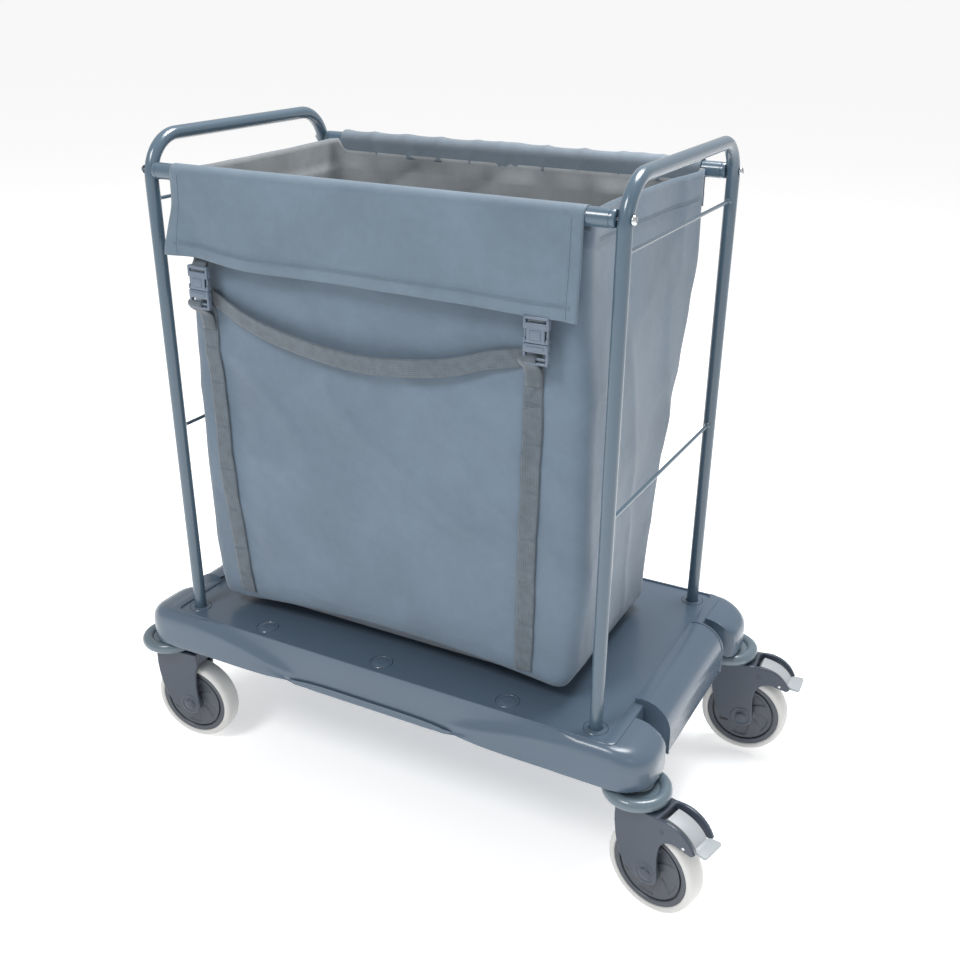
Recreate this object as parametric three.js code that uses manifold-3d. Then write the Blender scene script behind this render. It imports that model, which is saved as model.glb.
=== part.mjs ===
// Linen trolley: a moulded base tray on four castors, two tubular end hoops joined by two bag
// rails, and a coated-fabric bag that hangs on the rails.
// Millimetres. +X runs along the trolley towards the braked castors, -Y is the buckled front of
// the bag, +Z is up and z = 0 is the floor. The origin is the plan centre of the parked trolley.

import * as THREE from 'three';
import { mergeVertices } from 'three/addons/utils/BufferGeometryUtils.js';
import Module from 'manifold-3d';

const wasm = await Module();
wasm.setup();

// ---------------------------------------------------------------- driving dimensions

const GAP = 0.3;                    // clearance between pieces that touch
const ORIGIN_X = 40;                // plan centre of the parked trolley, from the tray's centre

// Base tray
const DECK_Z = 270;                 // recessed deck that the bag stands over
const RIM_Z = 273;                  // rim round the deck
const TRAY_WALL = 4;
const TRAY_HALF = { x: 412, y: 248 };
const RECESS_HALF = { x: 395, y: 243 };
const TRAY_CORNER = { lip: 14, inside: 10, recess: 12 };
const SKIRT_Z = 212;                // lower edge of the long skirts
const POD = { x0: 330, x1: 467, y0: 164, y1: 262, z0: 206, corner: 50, bevel: 12 };
const BLISTER = { x0: 110, top: 250 };
const ROLL = { x: 410, z: 235, r: 45, halfLength: 130, bottom: 196, start: 398, seat: 264 };
const RIB = { pitch: 160, half: 2, foot: 240 };
const SOCKET = { depth: 8, bossWall: 4, bossTop: 267 };
const CASTOR_BOSS = { r: 20, bore: 8.3, boreTop: 256 };

// End hoops, wires and bag rails
const POST = { x: 370, y: 215, r: 10, wall: 1.5, foot: 230 };
const HOOP_TOP = 1046;              // axis of the push bar
const HOOP_BEND = 60;
const RAIL = { z: 1000, r: 12, wall: 1.5, endWall: 8 };
const WIRE_R = 2.75;
const WIRE_HEIGHTS = { upper: 958, lower: 601 };
const SCREW = { r: 3, headR: 6.5, head: 4.5 };
const PLUG = { r: 18, pitch: 226 };

// Castors: trail, wheel and fork, in a frame with +X along the trail
const CASTOR = { x: 441, y: 219, trail: 42, wheelR: 75, rimR: 63, halfTyre: 18 };
const FORK = { top: 181.5, webBottom: 156, inner: 22, outer: 28, hubR: 20 };
const RING = { z: 192, r: 42, section: 10, bore: 15 };
const AXLE_R = 5;
const PEDAL = { x: 66, z: 165, pinR: 3, halfWidth: 18 };

// Where each castor trails when parked, in degrees from +X, and whether it has a brake
const CASTORS = [
  { name: 'front_right', sx: 1, sy: -1, heading: -13.4, brake: true },
  { name: 'back_right', sx: 1, sy: 1, heading: 3.3, brake: true },
  { name: 'front_left', sx: -1, sy: -1, heading: 6.7, brake: false },
  { name: 'back_left', sx: -1, sy: 1, heading: -4, brake: false },
];

// Bag
const BAG = { top: 984, floor: 292, wall: 4 };
const BAG_FOOT = { x: 304, front: 184, back: 158 };
const BAG_SPREAD = { x: 24, front: 16, back: 42 };
const BAG_BELLY = { x: 8, front: 12, back: 10 };
const FLAP = { halfLength: 323, thickness: 2.8, drop: 880, hem: 942 };
const WEB = { width: 27, thickness: 1.8, top: 806, bottom: 318 };
const STRAP_X = { top: 268, bottom: 250 };
const HANDLE = { endZ: 812, sag: 44, standOff: 14 };
const BUCKLE = { width: 36, depth: 9, top: 872, split: 838, bottom: 810 };

// ---------------------------------------------------------------- geometry helpers

function solid(geometry) {
  const bare = geometry.clone();
  bare.deleteAttribute('normal');
  bare.deleteAttribute('uv');
  const merged = mergeVertices(bare, 1e-4);
  return new wasm.Manifold(new wasm.Mesh({
    numProp: 3,
    vertProperties: Float32Array.from(merged.attributes.position.array),
    triVerts: Uint32Array.from(merged.index.array),
  }));
}

function geometryOf(body) {
  const mesh = body.getMesh();
  const geometry = new THREE.BufferGeometry();
  geometry.setAttribute('position', new THREE.BufferAttribute(mesh.vertProperties, 3));
  geometry.setIndex(new THREE.BufferAttribute(mesh.triVerts, 1));
  geometry.computeVertexNormals();
  return geometry;
}

// One geometry from those to add less those to take away.
function combine(added, removed = []) {
  const whole = added.map(solid).reduce((sum, body) => sum.add(body));
  return geometryOf(removed.map(solid).reduce((rest, body) => rest.subtract(body), whole));
}

function box(x0, x1, y0, y1, z0, z1) {
  const geometry = new THREE.BoxGeometry(x1 - x0, y1 - y0, z1 - z0);
  return geometry.translate((x0 + x1) / 2, (y0 + y1) / 2, (z0 + z1) / 2);
}

// A round bar along Z at (x, y).
function post(r, z0, z1, x = 0, y = 0) {
  const geometry = new THREE.CylinderGeometry(r, r, z1 - z0, 16).rotateX(Math.PI / 2);
  return geometry.translate(x, y, (z0 + z1) / 2);
}

// A round bar along X at (y, z).
function crossBar(r, x0, x1, y, z, sides = 12) {
  const geometry = new THREE.CylinderGeometry(r, r, x1 - x0, sides).rotateZ(-Math.PI / 2);
  return geometry.translate((x0 + x1) / 2, y, z);
}

// A round bar along Y at (x, z), as long each side of the middle.
function pin(r, halfLength, x, z, sides = 12) {
  return new THREE.CylinderGeometry(r, r, 2 * halfLength, sides).translate(x, 0, z);
}

// A body turned about Z from [radius, height] points.
function turned(profile, sides = 16) {
  const points = profile.map(([r, z]) => new THREE.Vector2(r, z));
  return new THREE.LatheGeometry(points, sides).rotateX(Math.PI / 2);
}

function outline(points) {
  return new THREE.Shape(points.map(([x, y]) => new THREE.Vector2(x, y)));
}

// A plan outline raised from z0 to z1.
function plate(shape, z0, z1, curveSegments = 4) {
  const options = { depth: z1 - z0, bevelEnabled: false, curveSegments };
  return new THREE.ExtrudeGeometry(shape, options).translate(0, 0, z0);
}

// An outline drawn in X and Z, running from y0 to y1.
function slice(shape, y0, y1, curveSegments = 4) {
  const options = { depth: y1 - y0, bevelEnabled: false, curveSegments };
  return new THREE.ExtrudeGeometry(shape, options).rotateX(Math.PI / 2).translate(0, y1, 0);
}

// An outline drawn in Y and Z, running from x0 to x1.
function rail(shape, x0, x1, curveSegments = 4) {
  const options = { depth: x1 - x0, bevelEnabled: false, curveSegments };
  const geometry = new THREE.ExtrudeGeometry(shape, options);
  return geometry.rotateX(Math.PI / 2).rotateZ(Math.PI / 2).translate(x0, 0, 0);
}

function roundedRectangle(x0, x1, y0, y1, r) {
  const shape = new THREE.Shape();
  shape.moveTo(x0 + r, y0);
  shape.lineTo(x1 - r, y0);
  shape.absarc(x1 - r, y0 + r, r, -Math.PI / 2, 0);
  shape.lineTo(x1, y1 - r);
  shape.absarc(x1 - r, y1 - r, r, 0, Math.PI / 2);
  shape.lineTo(x0 + r, y1);
  shape.absarc(x0 + r, y1 - r, r, Math.PI / 2, Math.PI);
  shape.lineTo(x0, y0 + r);
  shape.absarc(x0 + r, y0 + r, r, Math.PI, 1.5 * Math.PI);
  return shape;
}

// The same plan rectangle, centred.
function roundedPlate(half, inset, r, z0, z1) {
  const [x, y] = [half.x - inset, half.y - inset];
  return plate(roundedRectangle(-x, x, -y, y, r), z0, z1);
}

// A path that a tube bender follows: stations with their directions, so that straight runs take
// one step and the steps fall where the tube bends.
class BentPath extends THREE.Curve {
  constructor(stations) {
    super();
    this.stations = stations;
  }

  station(t) {
    return this.stations[Math.round(t * (this.stations.length - 1))];
  }

  getPointAt(t) {
    return this.station(t).point.clone();
  }

  getTangentAt(t) {
    return this.station(t).direction.clone();
  }
}

function material(color, roughness, metalness = 0) {
  return new THREE.MeshStandardMaterial({ color, roughness, metalness });
}

const trolley = new THREE.Group();
trolley.position.x = -ORIGIN_X;

function addPiece(name, geometry, look, parent = trolley) {
  const piece = new THREE.Mesh(geometry, look);
  piece.name = name;
  parent.add(piece);
}

const trayGrey = () => material(0x64747f, 0.4);
const tubeGrey = () => material(0x5f7382, 0.3, 0.2);
const forkGrey = () => material(0x5a626f, 0.5);
const fabricBlue = () => material(0x7d91a5, 0.85);
const webbingGrey = () => material(0x6d7880, 0.9);

// ---------------------------------------------------------------- base tray

// A hollow corner pod over a castor, drawn at the front right and mirrored by signs.
function podPlan(inset) {
  const r = POD.corner - inset;
  const [x0, x1] = [POD.x0 + inset, POD.x1 - inset];
  const [y0, y1] = [POD.y0 + inset, POD.y1 - inset];
  const shape = new THREE.Shape();
  shape.moveTo(x0, y0);
  shape.lineTo(x1, y0);
  shape.lineTo(x1, y1 - r);
  shape.absarc(x1 - r, y1 - r, r, 0, Math.PI / 2);
  shape.lineTo(x0, y1);
  return shape;
}

// A flipped plan turns an extrusion inside out, so its triangles are turned back.
function mirrored(geometry, sx, sy) {
  const copy = geometry.clone().scale(sx, sy, 1);
  if (sx * sy > 0) {
    return copy;
  }
  const flat = copy.index ? copy.toNonIndexed() : copy;
  const position = flat.attributes.position;
  for (let i = 0; i < position.count; i += 3) {
    const [x, y, z] = [position.getX(i), position.getY(i), position.getZ(i)];
    position.setXYZ(i, position.getX(i + 1), position.getY(i + 1), position.getZ(i + 1));
    position.setXYZ(i + 1, x, y, z);
  }
  return flat;
}

function corners(geometry) {
  return [[1, 1], [1, -1], [-1, 1], [-1, -1]].map(([sx, sy]) => mirrored(geometry, sx, sy));
}

// The half-round end moulding between two pods: a curved wall that runs down to a lower edge.
function rollWall(outer, inner) {
  const start = (r) => Math.acos((ROLL.x - ROLL.start - (ROLL.r - r)) / r);
  const shape = new THREE.Shape();
  shape.moveTo(ROLL.x - Math.cos(start(outer)) * outer, ROLL.seat);
  shape.absarc(ROLL.x, ROLL.z, outer, Math.PI - start(outer), 0, true);
  shape.lineTo(ROLL.x + outer, ROLL.bottom);
  if (inner > 0) {
    shape.lineTo(ROLL.x + inner, ROLL.bottom);
    shape.absarc(ROLL.x, ROLL.z, inner, 0, Math.PI - start(inner));
    shape.lineTo(ROLL.x - Math.cos(start(inner)) * inner, ROLL.seat);
  } else {
    shape.lineTo(TRAY_HALF.x - TRAY_WALL, ROLL.bottom);
    shape.lineTo(TRAY_HALF.x - TRAY_WALL, ROLL.seat);
  }
  return shape;
}

function plugSpots() {
  return [-1, 1].flatMap((side) => [-1, 0, 1].map((step) => [step * PLUG.pitch, side * POST.y]));
}

function postSpots() {
  return [[1, 1], [1, -1], [-1, 1], [-1, -1]].map(([sx, sy]) => [sx * POST.x, sy * POST.y]);
}

function baseTray() {
  const shell = roundedPlate(TRAY_HALF, 0, TRAY_CORNER.lip, SKIRT_Z, RIM_Z);
  const hollow = roundedPlate(TRAY_HALF, TRAY_WALL, TRAY_CORNER.inside, SKIRT_Z - 1, DECK_Z - 6);
  const recess = roundedPlate(RECESS_HALF, 0, TRAY_CORNER.recess, DECK_Z, RIM_Z + 1);

  const podBody = new THREE.ExtrudeGeometry(podPlan(POD.bevel), {
    depth: 60, bevelSize: POD.bevel, bevelThickness: POD.bevel, bevelSegments: 2, curveSegments: 4,
  });
  podBody.translate(0, 0, RIM_Z - 60 - POD.bevel);
  const underPod = box(POD.x0 - 9, POD.x1 + 9, POD.y0 - 9, POD.y1 + 9, POD.z0 - 40, POD.z0);
  const pods = corners(combine([podBody], [underPod]));
  const podHollows = corners(plate(podPlan(TRAY_WALL + 1), POD.z0 - 1, RIM_Z - 8));

  const front = TRAY_HALF.y - 2;
  const blisterPlan = outline([
    [BLISTER.x0, front], [POD.x0 + 30, front], [POD.x0 + 30, POD.y1 - 1], [POD.x0, POD.y1 - 1],
  ]);
  const blisters = corners(plate(blisterPlan, SKIRT_Z - 4, BLISTER.top));

  const wall = slice(rollWall(ROLL.r, ROLL.r - TRAY_WALL), -ROLL.halfLength, ROLL.halfLength);
  const cap = slice(rollWall(ROLL.r, 0), ROLL.halfLength - TRAY_WALL, ROLL.halfLength);
  const rolls = [wall, mirrored(wall, -1, 1), ...corners(cap)];

  const ribs = [-1, 0, 1].map((step) => box(
    step * RIB.pitch - RIB.half, step * RIB.pitch + RIB.half,
    2 - TRAY_HALF.y, TRAY_HALF.y - 2, RIB.foot, SOCKET.bossTop - 1,
  ));
  const castorSpots = CASTORS.map(({ sx, sy }) => [sx * CASTOR.x, sy * CASTOR.y]);
  const bossR = PLUG.r + SOCKET.bossWall;
  const bosses = [
    ...castorSpots.map(([x, y]) => post(CASTOR_BOSS.r, POD.z0, SOCKET.bossTop, x, y)),
    ...postSpots().map(([x, y]) => post(bossR, POST.foot - 5, SOCKET.bossTop, x, y)),
    ...plugSpots().map(([x, y]) => post(bossR, SOCKET.bossTop - 10, SOCKET.bossTop, x, y)),
  ];
  const bores = [
    ...castorSpots.map(([x, y]) => post(CASTOR_BOSS.bore, POD.z0 - 1, CASTOR_BOSS.boreTop, x, y)),
    ...postSpots().map(([x, y]) => post(POST.r + 2 * GAP, POST.foot, RIM_Z, x, y)),
    ...postSpots().map(([x, y]) => post(PLUG.r + GAP, DECK_Z - SOCKET.depth, RIM_Z, x, y)),
    ...plugSpots().map(([x, y]) => post(PLUG.r + GAP, DECK_Z - SOCKET.depth, RIM_Z, x, y)),
  ];
  const hollowShell = combine([shell], [hollow]);
  const hollowPods = combine(pods, podHollows);
  const joined = combine([hollowShell, hollowPods, ...blisters, ...rolls, ...ribs, ...bosses]);
  return combine([joined], [recess, ...bores]);
}

addPiece('base_tray', baseTray(), trayGrey());

// A split collar that centres a post in the deck, and the blanking plugs of the unused sockets.
function postCollar(x, y) {
  const [inner, foot, top] = [POST.r + 2 * GAP, DECK_Z - SOCKET.depth + GAP, DECK_Z + 0.8];
  const ring = turned([
    [inner, foot], [PLUG.r, foot], [PLUG.r, top - 1], [PLUG.r - 1, top], [inner, top], [inner, foot],
  ]);
  return ring.translate(x, y, 0);
}

function socketPlug(x, y) {
  const [foot, top] = [DECK_Z - SOCKET.depth + GAP, DECK_Z + 0.6];
  const disc = turned([[0, foot], [PLUG.r, foot], [PLUG.r, top - 1], [PLUG.r - 1, top], [0, top]]);
  return disc.translate(x, y, 0);
}

const postNames = ['back_right', 'front_right', 'back_left', 'front_left'];
postSpots().forEach(([x, y], i) => {
  addPiece(`post_collar_${postNames[i]}`, postCollar(x, y), trayGrey());
});
const plugNames = ['front_left', 'front_middle', 'front_right', 'back_left', 'back_middle', 'back_right'];
plugSpots().forEach(([x, y], i) => {
  addPiece(`socket_plug_${plugNames[i]}`, socketPlug(x, y), trayGrey());
});

// ---------------------------------------------------------------- end hoops, wires, rails

function hoopPath(x) {
  const up = new THREE.Vector3(0, 0, 1);
  const across = new THREE.Vector3(0, 1, 0);
  const stations = [{ point: new THREE.Vector3(x, -POST.y, POST.foot + GAP), direction: up }];
  const bend = (side, from, to) => {
    const steps = 5;
    for (let i = 0; i <= steps; i += 1) {
      const angle = from + ((to - from) * i) / steps;
      const [c, s] = [Math.cos(angle), Math.sin(angle)];
      const [y, z] = [side * (POST.y - HOOP_BEND) + HOOP_BEND * c, HOOP_TOP - HOOP_BEND * (1 - s)];
      const direction = up.clone().multiplyScalar(-c).addScaledVector(across, s);
      stations.push({ point: new THREE.Vector3(x, y, z), direction });
    }
  };
  bend(-1, Math.PI, Math.PI / 2);
  bend(1, Math.PI / 2, 0);
  const down = up.clone().negate();
  stations.push({ point: new THREE.Vector3(x, POST.y, POST.foot + GAP), direction: down });
  return new BentPath(stations);
}

function endHoop(side) {
  const ring = new THREE.Shape().absarc(0, 0, POST.r, 0, 2 * Math.PI);
  ring.holes.push(new THREE.Path().absarc(0, 0, POST.r - POST.wall, 0, 2 * Math.PI, true));
  const path = hoopPath(side * POST.x);
  const steps = path.stations.length - 1;
  const options = { steps, extrudePath: path, curveSegments: 6, bevelEnabled: false };
  const tube = new THREE.ExtrudeGeometry(ring, options);
  const reach = POST.r + 2;
  const screwHoles = [-1, 1].map((end) => crossBar(
    SCREW.r + GAP, side * POST.x - reach, side * POST.x + reach, end * POST.y, RAIL.z,
  ));
  return combine([tube], screwHoles);
}

function hoopWire(side, z) {
  const halfLength = POST.y - POST.r - GAP;
  return pin(WIRE_R, halfLength, side * POST.x, z, 8);
}

// A tube with a tapped plug welded in each end, open through the plugs' screw holes.
function bagRail(y) {
  const end = POST.x - POST.r - GAP;
  const [inner, hole, plug] = [RAIL.r - RAIL.wall, SCREW.r + GAP, end - RAIL.endWall];
  const tube = turned([
    [hole, -end], [RAIL.r - 1, -end], [RAIL.r, 1 - end], [RAIL.r, end - 1], [RAIL.r - 1, end],
    [hole, end], [hole, plug], [inner, plug], [inner, -plug], [hole, -plug], [hole, -end],
  ], 12);
  return tube.rotateY(Math.PI / 2).translate(0, y, RAIL.z);
}

function railScrew(sx, y) {
  const [seat, tip] = [POST.r + GAP, 2 - POST.r - RAIL.endWall];
  const profile = [
    [0, tip], [SCREW.r, tip], [SCREW.r, seat], [SCREW.headR, seat],
    [SCREW.headR - 1, seat + 2.4], [SCREW.headR - 3, seat + 3.8], [0, seat + SCREW.head],
  ];
  return turned(profile, 8).rotateY((sx * Math.PI) / 2).translate(sx * POST.x, y, RAIL.z);
}

[['right', 1], ['left', -1]].forEach(([name, side]) => {
  addPiece(`end_hoop_${name}`, endHoop(side), tubeGrey());
  Object.entries(WIRE_HEIGHTS).forEach(([level, z]) => {
    addPiece(`hoop_wire_${level}_${name}`, hoopWire(side, z), tubeGrey());
  });
});
[['front', -1], ['back', 1]].forEach(([name, side]) => {
  addPiece(`bag_rail_${name}`, bagRail(side * POST.y), tubeGrey());
});
CASTORS.forEach(({ name, sx, sy }) => {
  addPiece(`rail_screw_${name}`, railScrew(sx, sy * POST.y), material(0xb9c0c6, 0.3, 0.8));
});

// ---------------------------------------------------------------- castors

// King pin with its mounting plate; the fork turns on its lower end.
function castorStem() {
  return turned([
    [0, 156.6], [17, 156.6], [17, 161.7], [12, 161.7], [12, FORK.top + GAP],
    [RING.bore, FORK.top + GAP], [RING.bore, 202.3], [24, 202.3], [24, POD.z0 - GAP],
    [8, POD.z0 - GAP], [8, 254], [7, 255], [0, 255],
  ]);
}

// A rolling wall buffer: a web round the stem with a round rim.
function bumperRing() {
  const bore = RING.bore + 2 * GAP;
  const web = 3.5;
  const rim = [];
  const steps = 7;
  const start = Math.asin(web / RING.section);
  for (let i = 0; i <= steps; i += 1) {
    const angle = Math.PI + start + ((2 * Math.PI - 2 * start) * i) / steps;
    rim.push([RING.r + RING.section * Math.cos(angle), RING.z + RING.section * Math.sin(angle)]);
  }
  return turned([[bore, RING.z + web], [bore, RING.z - web], ...rim, [bore, RING.z + web]], 20);
}

// Side view of a fork leg; a braked fork carries on as an arched arm beside its pedal.
function legOutline(brake) {
  const [hubX, hubZ] = [CASTOR.trail, CASTOR.wheelR];
  const shape = new THREE.Shape();
  shape.moveTo(-17, FORK.top);
  shape.lineTo(-18, 150);
  shape.quadraticCurveTo(-16, 118, -8, 95);
  shape.quadraticCurveTo(2, 66, 30, hubZ - 16);
  shape.absarc(hubX, hubZ, FORK.hubR, -2.2, 0);
  shape.quadraticCurveTo(57, 104, 59, 124);
  if (brake) {
    shape.quadraticCurveTo(62, 150, 88, 151);
    shape.lineTo(113, 146);
    shape.lineTo(118, 150);
    shape.quadraticCurveTo(104, 181, 70, 183);
    shape.lineTo(50, FORK.top);
  } else {
    shape.quadraticCurveTo(60, 150, 66, 160);
    shape.lineTo(64, FORK.top);
  }
  return shape;
}

function castorFork(brake) {
  const web = new THREE.Shape();
  const back = brake ? 56 : 64;
  web.moveTo(back, -FORK.outer);
  web.lineTo(back, FORK.outer);
  web.lineTo(0, FORK.outer);
  web.absarc(0, 0, FORK.outer, Math.PI / 2, 1.5 * Math.PI);
  const leg = legOutline(brake);
  const body = [
    plate(web, FORK.webBottom, FORK.top),
    slice(leg, FORK.inner, FORK.outer),
    slice(leg, -FORK.outer, -FORK.inner),
  ];
  const bores = [
    post(12 + GAP, FORK.webBottom - 1, FORK.top + 1),
    post(17 + GAP, FORK.webBottom - 1, 162),
    pin(AXLE_R + GAP, FORK.outer + 1, CASTOR.trail, CASTOR.wheelR),
  ];
  if (brake) {
    bores.push(pin(PEDAL.pinR + GAP, FORK.outer + 1, PEDAL.x, PEDAL.z));
  }
  return combine(body, bores);
}

// Wheel parts are turned about the axle, which lies along Y.
function aboutAxle(geometry) {
  return geometry.rotateX(Math.PI / 2).translate(CASTOR.trail, 0, CASTOR.wheelR);
}

function mirroredProfile(half) {
  const other = half.map(([r, z]) => [r, -z]).reverse();
  return [...half, ...other, half[0]];
}

function wheelCore() {
  const rim = CASTOR.rimR - GAP;
  const half = [
    [AXLE_R + GAP, -20.5], [14, -20.5], [15, -15], [rim, -16],
  ];
  return aboutAxle(turned(mirroredProfile(half), 24));
}

function tyre() {
  const [r, w] = [CASTOR.wheelR, CASTOR.halfTyre];
  const half = [[CASTOR.rimR, -16.5], [67, -w], [73, -14], [r, -5]];
  return aboutAxle(turned(mirroredProfile(half), 32));
}

function axle() {
  const [reach, head] = [FORK.outer + GAP, 3.2];
  return aboutAxle(turned([
    [0, -reach - head], [8, -reach - head], [10, -reach - 1], [10, -reach], [AXLE_R, -reach],
    [AXLE_R, reach], [10, reach], [10, reach + 1], [8, reach + head], [0, reach + head],
  ], 12));
}

// Foot pedal between the fork's arms: pivot barrel, arched strip, toe tab and brake shoe.
function brakePedal() {
  const strip = new THREE.Shape();
  strip.moveTo(60, 172);
  strip.lineTo(64, 179);
  strip.quadraticCurveTo(98, 177, 113, 153);
  strip.lineTo(133, 152);
  strip.lineTo(133, 147.5);
  strip.lineTo(110, 147);
  strip.quadraticCurveTo(94, 172, 70, 172);
  strip.lineTo(66, 168);
  const shoe = outline([[68, 166], [68, 156], [80, 146.5], [84, 149], [76, 168]]);
  const width = PEDAL.halfWidth;
  return combine([
    slice(strip, -width, width),
    slice(shoe, -12, 12),
    box(115, 134, -22, 22, 147, 152.4),
    pin(6.5, width, PEDAL.x, PEDAL.z),
    pin(PEDAL.pinR, FORK.outer - GAP, PEDAL.x, PEDAL.z),
  ]);
}

CASTORS.forEach(({ name, sx, sy, heading, brake }) => {
  const castor = new THREE.Group();
  castor.position.set(sx * CASTOR.x, sy * CASTOR.y, 0);
  castor.rotation.z = THREE.MathUtils.degToRad(heading);
  trolley.add(castor);
  addPiece(`castor_stem_${name}`, castorStem(), material(0x8d949a, 0.35, 0.8), castor);
  addPiece(`bumper_ring_${name}`, bumperRing(), trayGrey(), castor);
  addPiece(`castor_fork_${name}`, castorFork(brake), forkGrey(), castor);
  addPiece(`wheel_core_${name}`, wheelCore(), material(0x565e69, 0.5), castor);
  addPiece(`tyre_${name}`, tyre(), material(0xdadada, 0.6), castor);
  addPiece(`wheel_axle_${name}`, axle(), forkGrey(), castor);
  if (brake) {
    addPiece(`brake_pedal_${name}`, brakePedal(), material(0xc0c8cc, 0.45), castor);
  }
});

// ---------------------------------------------------------------- bag

// How far up the bag a height is, from 0 at its floor to 1 at the rails.
function bagRise(z) {
  return (z - BAG.floor) / (BAG.top - BAG.floor);
}

// The bag's outer faces at a height: it widens upwards and its sides belly a little.
function bagSides(z) {
  const t = bagRise(z);
  const belly = Math.sin(Math.PI * Math.min(Math.max(t, 0), 1));
  const reach = (side) => BAG_FOOT[side] + BAG_SPREAD[side] * t + BAG_BELLY[side] * belly;
  return { x: reach('x'), front: -reach('front'), back: reach('back') };
}

// A closed block of the bag's shape, inset from its outer faces.
function bagBlock(inset, z0, z1, steps) {
  const shape = roundedRectangle(-1, 1, -1, 1, 0.12);
  const options = { depth: 1, steps, bevelEnabled: false, curveSegments: 2 };
  const block = new THREE.ExtrudeGeometry(shape, options);
  const position = block.attributes.position;
  for (let i = 0; i < position.count; i += 1) {
    const z = z0 + (z1 - z0) * position.getZ(i);
    const { x, front, back } = bagSides(z);
    const [middle, half] = [(front + back) / 2, (back - front) / 2];
    const y = middle + position.getY(i) * (half - inset);
    position.setXYZ(i, position.getX(i) * (x - inset), y, z);
  }
  return block;
}

function bagBody() {
  const outer = bagBlock(0, BAG.floor, BAG.top, 6);
  const inner = bagBlock(BAG.wall, BAG.floor + BAG.wall, BAG.top + 1, 6);
  return combine([outer], [inner]);
}

// Fabric folded over a rail, with its outer leg hanging to the height called drop.
function railFold(side, drop) {
  const r0 = RAIL.r + GAP;
  const r1 = r0 + FLAP.thickness;
  const y = side * POST.y;
  const foot = BAG.top + GAP;
  const shape = new THREE.Shape();
  shape.moveTo(y - side * r0, foot);
  shape.absarc(y, RAIL.z, r0, side > 0 ? Math.PI : 0, side > 0 ? 0 : Math.PI, side > 0);
  shape.lineTo(y + side * r0, drop);
  shape.lineTo(y + side * r1, drop);
  shape.absarc(y, RAIL.z, r1, side > 0 ? 0 : Math.PI, side > 0 ? Math.PI : 0, side < 0);
  shape.lineTo(y - side * r1, foot);
  return rail(shape, -FLAP.halfLength, FLAP.halfLength, 6);
}

// A webbing strap sewn down the front panel, leaning in with the bag's taper.
function frontStrap(side) {
  const steps = 8;
  const face = [];
  const back = [];
  for (let i = 0; i <= steps; i += 1) {
    const z = WEB.bottom + ((WEB.top - WEB.bottom) * i) / steps;
    const y = bagSides(z).front - 2 * GAP;
    back.push([y, z]);
    face.unshift([y - WEB.thickness, z]);
  }
  const strap = rail(outline([...back, ...face]), -WEB.width / 2, WEB.width / 2);
  const position = strap.attributes.position;
  const lean = (STRAP_X.top - STRAP_X.bottom) / (WEB.top - WEB.bottom);
  for (let i = 0; i < position.count; i += 1) {
    const x = STRAP_X.bottom + lean * (position.getZ(i) - WEB.bottom);
    position.setX(i, position.getX(i) + side * x);
  }
  return strap;
}

// The carrying loop: webbing on edge that sags between the two straps, clear of the bag.
function carryHandle() {
  const halfSpan = STRAP_X.top - WEB.width / 2 - 3;
  const steps = 14;
  const strip = new THREE.BoxGeometry(2 * halfSpan, WEB.thickness, WEB.width, steps, 1, 1);
  const position = strip.attributes.position;
  for (let i = 0; i < position.count; i += 1) {
    const u = position.getX(i) / halfSpan;
    const arch = 1 - u * u;
    const z = HANDLE.endZ - HANDLE.sag * arch + position.getZ(i);
    const standOff = HANDLE.standOff * Math.sqrt(Math.max(arch, 0)) + 1;
    const y = bagSides(z).front - WEB.thickness - standOff;
    position.setXYZ(i, position.getX(i), y + position.getY(i), z);
  }
  return strip;
}

const BUCKLE_Y = -(POST.y + RAIL.r + GAP);

// Upper half of a side-release buckle, hung under the flap, with its mouth at the bottom.
function buckleSocket(side) {
  const [x, half] = [side * STRAP_X.top, BUCKLE.width / 2];
  const [y0, y1] = [BUCKLE_Y - BUCKLE.depth, BUCKLE_Y];
  const shell = box(x - half, x + half, y0, y1, BUCKLE.split, BUCKLE.top);
  const mouth = box(x - half + 3, x + half - 3, y0 + 2, y1 - 2, BUCKLE.split - 1, BUCKLE.top - 10);
  const sideSlots = [-1, 1].map((end) => box(
    x + end * half - 4, x + end * half + 4, y0 + 1.9, y1 - 1.9, BUCKLE.split + 8, BUCKLE.split + 19,
  ));
  const strapSlot = box(x - half + 4, x + half - 4, y0 - 1, y1 + 1, BUCKLE.top - 7, BUCKLE.top - 3);
  return combine([shell], [mouth, strapSlot, ...sideSlots]);
}

// Lower half: a bridge for the strap and a centre tongue with two sprung prongs.
function bucklePlug(side) {
  const [x, half] = [side * STRAP_X.top, BUCKLE.width / 2];
  const [y0, y1] = [BUCKLE_Y - BUCKLE.depth, BUCKLE_Y];
  const bridge = box(x - half, x + half, y0, y1, BUCKLE.bottom, BUCKLE.split - GAP);
  const prongs = [-1, 1].map((end) => {
    const [a, b] = [x + end * (half - 6.5), x + end * (half - 3.5)];
    const [low, high] = [Math.min(a, b), Math.max(a, b)];
    return box(low, high, y0 + 2.5, y1 - 2.5, BUCKLE.split - 2, BUCKLE.split + 21);
  });
  const tongue = box(x - 4, x + 4, y0 + 2.5, y1 - 2.5, BUCKLE.split - 2, BUCKLE.split + 20);
  const strapSlot = box(
    x - half + 4, x + half - 4, y0 - 1, y1 + 1, BUCKLE.bottom + 4, BUCKLE.bottom + 8,
  );
  return combine([bridge, tongue, ...prongs], [strapSlot]);
}

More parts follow.
